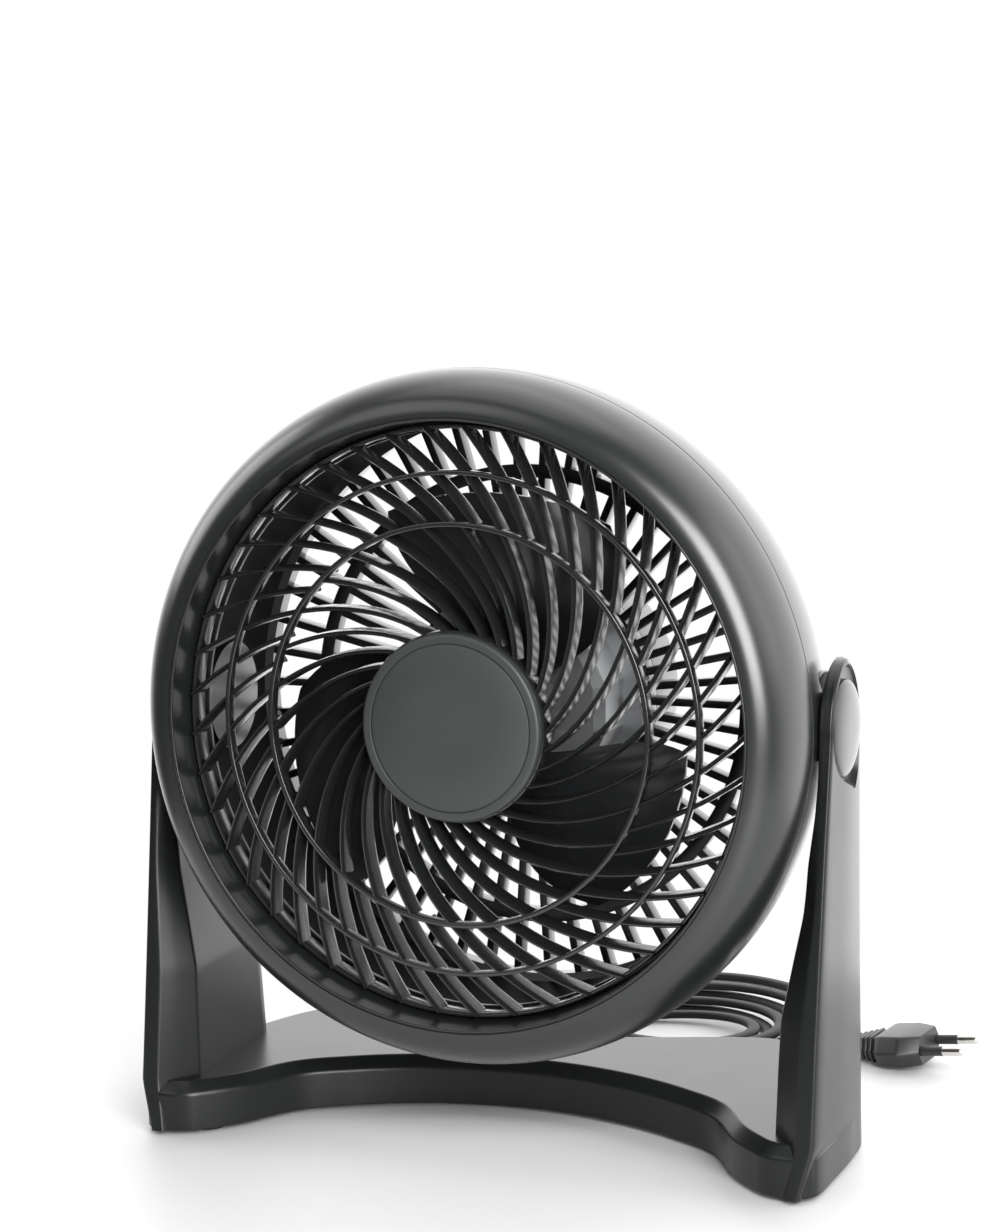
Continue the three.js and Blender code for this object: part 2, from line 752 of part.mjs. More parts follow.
function speedSwitch() {
  const seatF = coverRearF + motorCoverWall + fitGap;
  const { width, height, depth } = switchSize;
  const body = boxAt(width, height, seatF, depth, 0);
  const bore = rod(switchShaftRadius + fitGap, seatF - 1, seatF + depth - 3, "front");
  return fromSolid(cut(solid(body), bore));
}

function capacitor() {
  const seatF = coverRearF + motorCoverWall + fitGap;
  const { width, height, depth } = capacitorSize;
  return boxAt(width, height, seatF, depth, capacitorDrop);
}

// Round knob with a grip bar across it, on a shaft that reaches into the switch.
function speedKnob() {
  const seatF = coverRearF - fitGap;
  const backF = seatF - speedKnobHeight;
  const shaftF = coverRearF + motorCoverWall + switchSize.depth - 4;
  const disc = turned([
    [0, shaftF], [switchShaftRadius, shaftF], [switchShaftRadius, seatF],
    [speedKnobRadius, seatF], [speedKnobRadius, backF + 4], [speedKnobRadius - 1.5, backF + 1],
    [speedKnobRadius - 4, backF], [0, backF],
  ], "front", 18);
  const grip = boxAt(speedGripWidth, speedKnobRadius * 1.7, backF - speedGripHeight,
    speedGripHeight + 1, 0);
  return fromSolid(join(disc, grip));
}

// ---- Tilt pivots, drawn for the +X side with the axis at the origin ------------------

function pivotWasher() {
  return tubeRing(boltRadius + fitGap, washerRadius, bossEnd + fitGap, armInner - fitGap, "x",
    hiddenSegments);
}

function pivotBolt() {
  const seat = armInner + pocketFloor + fitGap;
  return turned([
    [0, bossEnd - boltReach + fitGap], [boltRadius, bossEnd - boltReach + fitGap],
    [boltRadius, seat], [boltHeadRadius, seat], [boltHeadRadius, seat + boltHeadHeight - 1],
    [boltHeadRadius - 1.5, seat + boltHeadHeight], [0, seat + boltHeadHeight],
  ], "x", smallSegments);
}

// Hollow dome glued into the arm's pocket over the bolt's head.
function pivotCap() {
  const base = armInner + pocketFloor + fitGap;
  const rim = 1.4;
  const arc = (radius, height) => [0, 0.33, 0.66, 1].map((share) => {
    const angle = share * Math.PI / 2;
    return [radius * Math.cos(angle), base + rim + (height - rim) * Math.sin(angle)];
  });
  const outer = arc(capRadius, capHeight);
  const inner = arc(capRadius - capWall, capHeight - capWall).toReversed();
  outer.at(-1)[0] = 0;
  inner.at(0)[0] = 0;
  return turned([...inner, [capRadius - capWall, base], [capRadius, base], ...outer], "x", 16);
}

// ---- Stand ---------------------------------------------------------------------------

// Outline of the base seen from above, the half with x >= 0, front to rear.
function baseHalf() {
  const side = armInner + armOuter;
  const arcCentreY = waistFrontY - waistFrontRadius;
  const arc = [0, 0.2, 0.4, 0.6, 0.8, 1].map((share) => {
    const x = share * waistFrontHalf;
    return [x, arcCentreY + Math.sqrt(waistFrontRadius ** 2 - x * x)];
  });
  const toe = [[-39, 18.5], [-26, 5.2], [-20, 1.4], [-14, 0], [-7, 0.5], [-3, 3.5], [-1, 9]]
    .map(([x, y]) => [side + x, toeY + y]);
  const flank = [[side - 0.4, -20], [side - 0.2, 5], [side - 2.5, 23], [side - 7, 36]];
  const lobe = [[40.5, -36], [32, -21], [17, -7], [0, 0], [-18, -2.5], [-33, -7]]
    .map(([x, y]) => [lobeX + x, lobeY + y]);
  const waist = [[31, waistRearY + 5], [15, waistRearY + 1.2], [0, waistRearY]];
  return [...arc, ...toe, ...flank, ...lobe, ...waist];
}

function baseOutline() {
  const right = baseHalf();
  const left = right.slice(1, -1).toReversed().map(([x, y]) => [-x, y]);
  return [...right, ...left];
}

// Where the cord leaves: the middle of the straight stretch beside the left rear lobe.
function cordExit() {
  const half = baseHalf();
  const [ax, ay] = half.at(-4);
  const [bx, by] = half.at(-5);
  const out = new THREE.Vector2(by - ay, bx - ax).normalize();
  return { x: -(ax + bx) / 2, y: (ay + by) / 2, out };
}

// How far the arm's inner face stands in from its place at the pivot, by share of height.
const armSpread = [[0, 1], [0.16, 0.95], [0.29, 0.9], [0.42, 0.65], [0.55, 0.39], [0.68, 0.26],
  [0.8, 0.07], [0.9, 0], [1, 0]];

// Plan of the right arm at a share of the height from base plate (0) to pivot (1).
function armPlan(share, spread, narrowing = 1) {
  const inner = armInner - armFootSpread * spread;
  const middle = (armFrontTopY + armRearTopY) / 2;
  const draw = (y) => middle + (y - middle) * narrowing;
  const front = draw(armFrontFootY + (armFrontTopY - armFrontFootY) * share);
  const rear = draw(armRearFootY + (armRearTopY - armRearFootY) * share);
  const wedge = Math.min(wedgeFoot + (wedgeTop - wedgeFoot) * share, (rear - front) * 0.35);
  const edge = armInner + armEdge;
  const outer = armInner + armOuter;
  const span = rear - front;
  return [
    [edge, front],
    [outer - 0.6, front + span * 0.1],
    [outer, front + span * 0.55],
    [outer - 1.2, front + span * 0.85],
    [outer - 3.2, rear],
    [inner + 1, rear],
    [inner, rear - span * 0.06],
    [inner, front + wedge],
    [inner + 0.55 * (edge - inner), front + Math.min(0.8, span * 0.02)],
  ];
}

function armRings(wall, upTo) {
  const rings = armSpread.filter(([share]) => share <= upTo).map(([share, spread]) => ({
    z: baseTopZ + (pivotZ - baseTopZ) * share, plan: armPlan(share, spread),
  }));
  return rings.map(({ z, plan }) => atHeight(inset(plan, wall), z));
}

function arm() {
  const foot = armPlan(0, 1);
  foot[0] = [armInner + armEdge - 5, armFrontFootY];
  foot[1] = [armInner + armOuter - 1.4, armFrontFootY + 8];
  const crown = crownTurns.map((degrees) => {
    const angle = THREE.MathUtils.degToRad(degrees);
    return atHeight(armPlan(1, 0, Math.cos(angle)), pivotZ + armTopRise * Math.sin(angle));
  });
  const solidArm = solid(loft([atHeight(foot, baseUnderZ), ...armRings(0, 1), ...crown]));
  const pocket = rod(pocketRadius, armInner + pocketFloor, armInner + toolReach, "x", midSegments)
    .translate(0, 0, pivotZ);
  const bore = rod(boltRadius + fitGap, armInner - toolReach, armInner + toolReach, "x")
    .translate(0, 0, pivotZ);
  return fromSolid(cut(solidArm, pocket, bore));
}

function armHollow() {
  const rings = armRings(standWall, armHollowShare);
  const floor = rings[0].map(([x, y]) => [x, y, baseTopZ - 5]);
  return loft([floor, ...rings]);
}

function bothSides(places) {
  return places.flatMap(([x, y]) => [[x, y], [-x, y]]);
}

function standShell() {
  const outline = baseOutline();
  const inner = inset(outline, standWall);
  const skin = loft([
    atHeight(outline, baseUnderZ),
    atHeight(outline, baseWallTopZ),
    atHeight(inset(outline, baseBevel), baseTopZ),
  ]);
  const hollow = loft([
    atHeight(inner, baseUnderZ - 1),
    atHeight(inner, baseWallTopZ - 1),
    atHeight(inset(outline, baseBevel + standWall / 2), baseTopZ - standWall),
  ]);
  const rightArm = arm();
  const rightHollow = armHollow();
  const shell = cut(join(skin, rightArm, mirrored(rightArm)), hollow, rightHollow,
    mirrored(rightHollow));
  const coverTop = bottomCoverZ + bottomCoverDepth;
  const posts = bothSides(screwPlaces).map(([x, y]) =>
    rod(postRadius, coverTop + fitGap, baseTopZ - standWall / 2, "z").translate(x, y, 0));
  const bores = bothSides(screwPlaces).map(([x, y]) =>
    rod(screwHoleRadius, coverTop - 1, bottomCoverZ + screwLength, "z").translate(x, y, 0));
  const exit = cordExit();
  const cordHole = rod(glandNeckRadius + fitGap, -8, 8, "z").rotateX(-Math.PI / 2)
    .rotateZ(Math.atan2(-exit.out.x, exit.out.y)).translate(exit.x, exit.y, glandZ);
  const withPosts = posts.reduce((body, post) => body.add(solid(post)), shell);
  return fromSolid(cut(withPosts, ...bores, cordHole));
}

function bottomCover() {
  const shape = shapeOf(inset(baseOutline(), standWall + bottomCoverGap));
  addHoles(shape, bothSides(screwPlaces).map((at) => circleOutline(screwHoleRadius, 10, at)));
  const options = { depth: bottomCoverDepth, bevelEnabled: false };
  return new THREE.ExtrudeGeometry(shape, options).translate(0, 0, bottomCoverZ);
}

function foot() {
  const top = bottomCoverZ - fitGap;
  return turned([[0, 0], [footRadius - 0.6, 0], [footRadius, 0.6], [footRadius, top], [0, top]],
    "z", hiddenSegments);
}

function baseScrew() {
  const seat = bottomCoverZ - fitGap;
  return turned([
    [0, seat - screwHeadHeight], [screwHeadRadius - 0.5, seat - screwHeadHeight],
    [screwHeadRadius, seat], [screwRadius, seat], [screwRadius, seat + screwLength - 1],
    [0, seat + screwLength - 1],
  ], "z", 8);
}

// ---- Cord ----------------------------------------------------------------------------

// Moulded gland along +Z: snap ring and neck in the wall, collar outside, long taper.
function cordGland() {
  const collar = 3;
  const inside = -standWall - fitGap;
  const taper = [0.25, 0.5, 0.75].flatMap((share) => {
    const z = collar + (glandLength - collar) * share;
    const radius = glandNeckRadius + (glandTipRadius - glandNeckRadius) * share;
    return [[radius + 0.5, z - 1.2], [radius + 0.5, z], [radius - 0.2, z + 0.8]];
  });
  return turned([
    [0, inside - 3], [glandNeckRadius, inside - 3], [glandNeckRadius + 1.2, inside],
    [glandNeckRadius, inside], [glandNeckRadius, fitGap], [glandCollarRadius, fitGap],
    [glandCollarRadius, collar - 0.8], [glandCollarRadius - 0.8, collar],
    [glandNeckRadius + 0.4, collar], ...taper, [glandTipRadius, glandLength],
    [0, glandLength],
  ], "z", 10);
}

function cordSection() {
  const shape = new THREE.Shape();
  const sides = 8;
  for (let i = 0; i < sides; i += 1) {
    const [x, y] = polar(1, (2 * Math.PI * (i + 0.5)) / sides);
    const stretch = 1 / Math.cos(Math.PI / sides);
    const px = x * stretch * cordHeight / 2;
    const py = y * stretch * cordWidth / 2;
    if (i === 0) {
      shape.moveTo(px, py);
    } else {
      shape.lineTo(px, py);
    }
  }
  return shape;
}

function cordStretch(points) {
  const route = new THREE.CatmullRomCurve3(points.map((point) => new THREE.Vector3(...point)));
  const steps = Math.round(route.getLength() / (2.2 * cordHeight));
  return new THREE.ExtrudeGeometry(cordSection(), { steps, extrudePath: route });
}

// Centre of the coiled cord after a number of turns. The loops share their near side and fan
// out at the far side; they wind inwards on the floor, climb, and wind out on top.
function coilPoint(turns) {
  const down = coilLoopsDown;
  const reach = turns < down ? down - turns : Math.max(0, turns - down - 0.5);
  const climb = THREE.MathUtils.smoothstep(turns, down, down + 0.5);
  const angle = Math.PI - 2 * Math.PI * turns;
  const far = coilFarY + coilFarStep * reach;
  const near = coilNearY + coilNearStep * reach;
  const halfWidth = coilHalfWidth + coilHalfWidthStep * reach;
  return new THREE.Vector3(
    coilCentreX + halfWidth * Math.cos(angle),
    (far + near) / 2 + ((far - near) / 2) * Math.sin(angle),
    cordLowZ + (cordHighZ - cordLowZ) * climb,
  );
}

// The coiled cord's line, with a straight cord's width at either end.
function coilLine() {
  const steps = Math.round(coilLoops * coilStepsPerLoop);
  const small = 1e-3;
  const line = Array.from({ length: steps + 1 }, (_, i) => coilPoint((coilLoops * i) / steps));
  const back = coilPoint(0).sub(coilPoint(small)).setLength(cordWidth);
  const on = coilPoint(coilLoops).sub(coilPoint(coilLoops - small)).setLength(cordWidth);
  return [line[0].clone().add(back), ...line, line.at(-1).clone().add(on)];
}

// Flat six-sided tube along a line of points, its broad side level.
function levelTube(line) {
  const corners = [[-1, 0], [-0.6, -1], [0.6, -1], [1, 0], [0.6, 1], [-0.6, 1]];
  const sides = corners.length;
  const positions = [];
  line.forEach((point, i) => {
    const along = line[Math.min(i + 1, line.length - 1)].clone().sub(line[Math.max(i - 1, 0)]);
    const across = new THREE.Vector3(along.y, -along.x, 0).normalize();
    corners.forEach(([side, up]) => {
      const corner = point.clone().addScaledVector(across, side * cordWidth / 2);
      corner.z += up * cordHeight / 2;
      positions.push(corner.x, corner.y, corner.z);
    });
  });
  const index = [];
  for (let i = 0; i + 1 < line.length; i += 1) {
    for (let k = 0; k < sides; k += 1) {
      const a = i * sides + k;
      const b = i * sides + ((k + 1) % sides);
      index.push(a, b, b + sides, a, b + sides, a + sides);
    }
  }
  const last = (line.length - 1) * sides;
  for (let k = 1; k + 1 < sides; k += 1) {
    index.push(0, k + 1, k, last, last + k, last + k + 1);
  }
  const geometry = new THREE.BufferGeometry();
  geometry.setAttribute("position", new THREE.Float32BufferAttribute(positions, 3));
  geometry.setIndex(index);
  return geometry;
}

// Least gap between turns of the coil: level gap where heights overlap, else height gap.
function coilLeastGap(line) {
  let least = Infinity;
  line.forEach((point, i) => {
    line.slice(i + Math.round(coilStepsPerLoop / 2)).forEach((other) => {
      const level = Math.hypot(point.x - other.x, point.y - other.y) - cordWidth;
      const rise = Math.abs(point.z - other.z) - cordHeight;
      least = Math.min(least, Math.max(level, rise));
    });
  });
  return least;
}

function lineLength(line) {
  return line.slice(1).reduce((sum, point, i) => sum + point.distanceTo(line[i]), 0);
}

function reportCord(coil) {
  const curve = (points) => new THREE.CatmullRomCurve3(points.map((p) => new THREE.Vector3(...p)));
  const total = lineLength(coil) + curve(leadPoints).getLength() + curve(tailPoints).getLength();
  console.log(`coil: least gap ${coilLeastGap(coil).toFixed(2)} mm, cord ${total.toFixed(0)} mm`);
}

// ---- Plug, drawn along +Z with its face at z = 0 -------------------------------------

function plugRing(width, height, z) {
  const flatShare = 0.72;
  const w = width / 2;
  const h = height / 2;
  return [[w, 0], [w * flatShare, h], [-w * flatShare, h], [-w, 0], [-w * flatShare, -h],
    [w * flatShare, -h]].map(([x, y]) => [x, y, z]);
}

function plugBody() {
  const back = -plugBodyLength;
  const end = back - plugReliefLength;
  const ribs = [0, 1, 2, 3, 4].flatMap((k) => {
    const z = end + 3 + (k * (plugReliefLength - 4)) / 5;
    const width = cordWidth + 3 + k * 1.3;
    const height = cordHeight + 2.4 + k * 0.9;
    return [plugRing(width, height, z), plugRing(width, height, z + 1.8),
      plugRing(width - 1.4, height - 1.2, z + 2.4)];
  });
  return loft([
    plugRing(cordWidth + 1.4, cordHeight + 1.4, end),
    ...ribs,
    plugRing(plugWidth * 0.5, plugHeight * 0.8, back),
    plugRing(plugWidth * 0.86, plugHeight, back + 9),
    plugRing(plugWidth, plugHeight, -9),
    plugRing(plugWidth * 0.74, plugHeight * 0.92, 0),
  ]);
}

function plugPin(side) {
  return turned([[0, fitGap], [pinRadius, fitGap], [pinRadius, pinLength - 1.2],
    [pinRadius - 0.8, pinLength - 0.2], [0, pinLength]], "z", smallSegments)
    .translate(side * pinSpacing / 2, 0, 0);
}

function plugAxes() {
  const along = new THREE.Vector3(Math.cos(plugYaw) * Math.cos(plugPitch),
    Math.sin(plugYaw) * Math.cos(plugPitch), Math.sin(plugPitch));
  const across = new THREE.Vector3(Math.sin(plugYaw), -Math.cos(plugYaw), 0);
  return new THREE.Matrix4().makeBasis(across, along.clone().cross(across), along);
}

// ---- Assembly ------------------------------------------------------------------------

function headGroup() {
  const head = new THREE.Group();
  head.add(
    part("front_bezel", frontBezel(), satinPlastic),
    part("front_grille", frontGrille(), glossPlastic),
    part("hub_cap", hubCap(), satinPlastic),
    part("rear_housing", rearHousing(), satinPlastic),
    part("impeller", impeller(), bladePlastic),
    part("impeller_nut", impellerNut(), bladePlastic),
    part("motor_shaft", motorShaft(), steel),
    part("rotor", rotor(), laminations),
    part("stator_core", statorCore(), laminations),
    part("winding_front", winding(statorFrontF + fitGap), copper),
    part("winding_rear", winding(statorRearF - fitGap - windingDepth), copper),
    part("motor_bracket_front", frontBracket(), castAlloy),
    part("motor_bracket_rear", rearBracket(), castAlloy),
    part("bearing_front", bearing(frontBearingF), steel),
    part("bearing_rear", bearing(rearBearingF), steel),
    part("motor_cover", motorCover(), satinPlastic),
    part("speed_switch", speedSwitch(), glossPlastic),
    part("capacitor", capacitor(), glossPlastic),
    part("speed_knob", speedKnob(), satinPlastic),
    part("pivot_bolt_r", pivotBolt(), steel),
    part("pivot_bolt_l", mirrored(pivotBolt()), steel),
  );
  motorScrewPlaces().forEach(([x, z], i) => {
    const screw = part(`motor_screw_${i + 1}`, motorScrew(), steel);
    screw.position.set(x, 0, z);
    head.add(screw);
  });
  head.position.z = pivotZ;
  head.rotation.x = -restTilt;
  return head;
}

function standGroup() {
  const stand = new THREE.Group();
  stand.add(part("stand", standShell(), satinPlastic));
  stand.add(part("stand_bottom", bottomCover(), satinPlastic));
  const atCorners = (places, name, make, material) => {
    bothSides(places).forEach(([x, y], i) => {
      const piece = part(`${name}_${i + 1}`, make(), material);
      piece.position.set(x, y, 0);
      stand.add(piece);
    });
  };
  atCorners(footPlaces, "foot", foot, softRubber);
  atCorners(screwPlaces, "base_screw", baseScrew, steel);
  [["pivot_washer", pivotWasher, softRubber], ["pivot_cap", pivotCap, satinPlastic]]
    .forEach(([name, make, material]) => {
      const right = part(`${name}_r`, make(), material);
      const left = part(`${name}_l`, mirrored(make()), material);
      [right, left].forEach((piece) => piece.position.setZ(pivotZ));
      stand.add(right, left);
    });
  return stand;
}

function cordGroup() {
  const cord = new THREE.Group();
  const exit = cordExit();
  const gland = part("cord_gland", cordGland(), cordPlastic);
  const out = new THREE.Vector3(exit.out.x, exit.out.y, 0);
  gland.quaternion.setFromUnitVectors(new THREE.Vector3(0, 0, 1), out);
  gland.position.set(exit.x, exit.y, glandZ);
  const coil = coilLine();
  reportCord(coil);
  cord.add(
    gland,
    part("cord_lead", cordStretch(leadPoints), cordPlastic),
    part("cord_coil", levelTube(coil), cordPlastic),
    part("cord_tail", cordStretch(tailPoints), cordPlastic),
  );
  return cord;
}

function plugGroup() {
  const plug = new THREE.Group();
  plug.add(
    part("plug_body", plugBody(), cordPlastic),
    part("plug_pin_r", plugPin(1), nickel),
    part("plug_pin_l", plugPin(-1), nickel),
  );
  plug.quaternion.setFromRotationMatrix(plugAxes());
  plug.position.copy(plugFace);
  return plug;
}

// The origin lies under the middle of the fan's own box, at floor level, cord left out.
function assembly() {
  const fan = new THREE.Group();
  fan.add(standGroup(), headGroup());
  const box = new THREE.Box3().setFromObject(fan, true);
  const centre = box.getCenter(new THREE.Vector3());
  const whole = new THREE.Group();
  whole.add(fan, cordGroup(), plugGroup());
  whole.position.set(-centre.x, -centre.y, 0);
  console.log(`pivot at y ${(-centre.y).toFixed(4)}, z ${pivotZ.toFixed(4)}`);
  return whole;
}

export default assembly();
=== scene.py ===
"""A table-top air circulator fan, dressed for its photograph.

The head is worked out level, in millimetres, with x to the right, z up and f forwards
from the tilt axis. head_place turns it by its rest tilt and sets it on its pivot.
"""
import json
import logging
import math
from collections.abc import Callable
from dataclasses import dataclass
from enum import Enum

import bpy
import bmesh
import numpy as np
from mathutils import Euler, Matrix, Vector


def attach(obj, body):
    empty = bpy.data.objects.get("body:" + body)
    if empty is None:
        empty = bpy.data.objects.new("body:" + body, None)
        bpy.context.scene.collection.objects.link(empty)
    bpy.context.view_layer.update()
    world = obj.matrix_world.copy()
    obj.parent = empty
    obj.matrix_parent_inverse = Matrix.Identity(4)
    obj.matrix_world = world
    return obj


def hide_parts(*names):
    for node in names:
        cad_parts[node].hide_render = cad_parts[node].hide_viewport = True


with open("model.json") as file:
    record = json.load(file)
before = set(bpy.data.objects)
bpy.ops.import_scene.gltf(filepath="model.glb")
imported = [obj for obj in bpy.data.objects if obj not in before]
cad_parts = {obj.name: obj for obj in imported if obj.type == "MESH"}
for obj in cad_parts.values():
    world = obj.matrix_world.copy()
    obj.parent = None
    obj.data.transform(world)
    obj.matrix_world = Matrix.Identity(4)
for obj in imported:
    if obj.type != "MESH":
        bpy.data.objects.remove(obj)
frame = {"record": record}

log = logging.getLogger("fan")

MM = 0.001
PHOTO_WIDTH = 1000
REST_TILT = math.radians(2.0)
JOINTS = {joint["name"]: joint for joint in frame["record"]["behaviour"]["joints"]}
PIVOT = np.array(JOINTS["head_tilt"]["pos_m"]) / MM
SEAM_F = 24.0
ARM_INNER = 138.6
POCKET_FLOOR = 2.4
Placing = Callable[[np.ndarray], np.ndarray]


class Body(Enum):
    """The rigid bodies that a piece can ride on."""

    BASE = "base"
    HEAD = "head"
    FAN = "fan"
    KNOB = "knob"


class Axis(Enum):
    """Directions that a profile can be turned about."""

    FRONT = "front"
    RIGHT = "right"
    UP = "up"


# ---- Shapes ---------------------------------------------------------------------------


def polar(radius: np.ndarray, angle: np.ndarray) -> tuple[np.ndarray, np.ndarray]:
    """Turn radius and angle into x and z."""
    return radius * np.cos(angle), radius * np.sin(angle)


def rounded(points: list, radius: float | list, steps: int = 4, closed: bool = True) -> np.ndarray:
    """Round the corners of a flat outline.

    Each corner p becomes the curve (1-t)^2 a + 2t(1-t) p + t^2 b, where a and b lie on its
    two sides at the rounding radius, or at 0.45 of the side where that is shorter.

    Args:
        points: the outline's corners.
        radius: one radius, or one for each corner.
        steps: how many points each corner gets, less one.
        closed: whether the last corner joins the first.

    Returns:
        The rounded outline as an array of points.
    """
    corner = np.asarray(points, float)
    before = np.roll(corner, 1, axis=0) - corner
    after = np.roll(corner, -1, axis=0) - corner
    reach = np.broadcast_to(np.asarray(radius, float), (len(corner),)).copy()
    if not closed:
        reach[[0, -1]] = 0
    size_before = np.maximum(np.linalg.norm(before, axis=1), 1e-9)
    size_after = np.maximum(np.linalg.norm(after, axis=1), 1e-9)
    a = corner + before * (np.minimum(reach, 0.45 * size_before) / size_before)[:, None]
    b = corner + after * (np.minimum(reach, 0.45 * size_after) / size_after)[:, None]
    t = np.linspace(0, 1, steps + 1)[None, :, None]
    curve = (1 - t) ** 2 * a[:, None] + 2 * t * (1 - t) * corner[:, None] + t**2 * b[:, None]
    keep = np.where(reach > 0, steps + 1, 1)
    return np.concatenate([curve[i, : keep[i]] for i in range(len(corner))])


def smooth_line(points: list, count: int, closed: bool = False) -> np.ndarray:
    """Draw a Catmull-Rom curve through points, evenly spaced along its length.

    Between p1 and p2 the curve is half of (2 p1 + (p2-p0) t + (2p0-5p1+4p2-p3) t^2 +
    (3p1-p0-3p2+p3) t^3). An open curve goes on straight past its ends.

    Args:
        points: points on the curve.
        count: how many points to return.
        closed: whether the curve joins up with itself.

    Returns:
        The points, as an array of count rows.
    """
    given = np.asarray(points, float)
    if closed:
        before, after = given[-1:], given[:2]
    else:
        before, after = given[:1] * 2 - given[1:2], given[-1:] * 2 - given[-2:-1]
    p = np.concatenate([before, given, after])
    t = np.linspace(0, 1, 24, endpoint=False)[None, :, None]
    p0, p1, p2, p3 = (p[k : len(p) - 3 + k][:, None] for k in range(4))
    dense = 0.5 * (2 * p1 + (p2 - p0) * t + (2 * p0 - 5 * p1 + 4 * p2 - p3) * t**2
                   + (3 * p1 - p0 - 3 * p2 + p3) * t**3)
    dense = np.concatenate([dense.reshape(-1, given.shape[1]), given[:1] if closed else given[-1:]])
    along = np.concatenate([[0], np.cumsum(np.linalg.norm(np.diff(dense, axis=0), axis=1))])
    wanted = np.linspace(0, along[-1], count, endpoint=not closed)
    return np.stack([np.interp(wanted, along, column) for column in dense.T], axis=1)


def inset(outline: np.ndarray, distance: float) -> np.ndarray:
    """Draw a closed, finely divided outline in by a distance along its normals."""
    side = np.roll(outline, -1, axis=0) - np.roll(outline, 1, axis=0)
    normal = np.stack([-side[:, 1], side[:, 0]], axis=1)
    return outline + distance * normal / np.linalg.norm(normal, axis=1)[:, None]


def ring_profile(inner: float, outer: float, front: float, rear: float, radius: float,
                 steps: int) -> np.ndarray:
    """Return the outline of a flat ring with rounded edges, as (radius, place along the axis)."""
    return rounded([[inner, front], [outer, front], [outer, rear], [inner, rear]], radius, steps)


def turned(profile: np.ndarray, axis: Axis, segments: int = 192) -> np.ndarray:
    """Turn a closed profile of (radius, place along the axis) about an axis.

    A point (r, a) at angle t goes to (r cos t, r sin t) across the axis and a along it.

    Args:
        profile: the outline, in order.
        axis: what it turns about.
        segments: how many steps make the full turn.

    Returns:
        A grid of points, segments by profile points by 3.
    """
    angle = np.linspace(0, 2 * np.pi, segments, endpoint=False)[:, None]
    profile = np.asarray(profile, float)
    along = np.broadcast_to(profile[:, 1], (segments, len(profile)))
    u, v = polar(profile[:, 0][None, :], angle)
    if axis is Axis.FRONT:
        return np.stack([u, -along, v], axis=-1)
    if axis is Axis.RIGHT:
        return np.stack([along, u, v], axis=-1)
    return np.stack([u, v, along], axis=-1)


def swept(path: np.ndarray, section: np.ndarray, up: tuple = (0.0, 0.0, 1.0),
          swell: np.ndarray | None = None) -> np.ndarray:
    """Carry a flat section along a path, closed to a point at both ends.

    Section point (s, h) lies at path + s * side + h * over, where side is the path's
    direction crossed with up and over is side crossed with the direction.

    Args:
        path: points along the centre.
        section: outline of the section, in order.
        up: the way the section's second axis leans.
        swell: scale of the section at each point of the path.

    Returns:
        A grid of points, path points plus 2 by section points by 3.
    """
    along = np.gradient(path, axis=0)
    along /= np.linalg.norm(along, axis=1)[:, None]
    side = np.cross(along, np.asarray(up, float))
    side /= np.linalg.norm(side, axis=1)[:, None]
    over = np.cross(side, along)
    scale = np.ones(len(path)) if swell is None else swell
    ring = (path[:, None] + side[:, None] * (section[:, 0] * scale[:, None])[..., None]
            + over[:, None] * (section[:, 1] * scale[:, None])[..., None])
    cap = np.ones((1, len(section), 1))
    return np.concatenate([path[:1, None] * cap, ring, path[-1:, None] * cap])


def grid_faces(rows: int, columns: int, wrap_rows: bool, wrap_columns: bool) -> np.ndarray:
    """Return the four-sided faces of a grid of points, as rows of four indices."""
    i = np.arange(rows if wrap_rows else rows - 1)[:, None]
    j = np.arange(columns if wrap_columns else columns - 1)[None, :]
    i2, j2 = (i + 1) % rows, (j + 1) % columns
    corner = [i * columns + j, i * columns + j2, i2 * columns + j2, i2 * columns + j]
    return np.stack(np.broadcast_arrays(*corner), axis=-1).reshape(-1, 4)


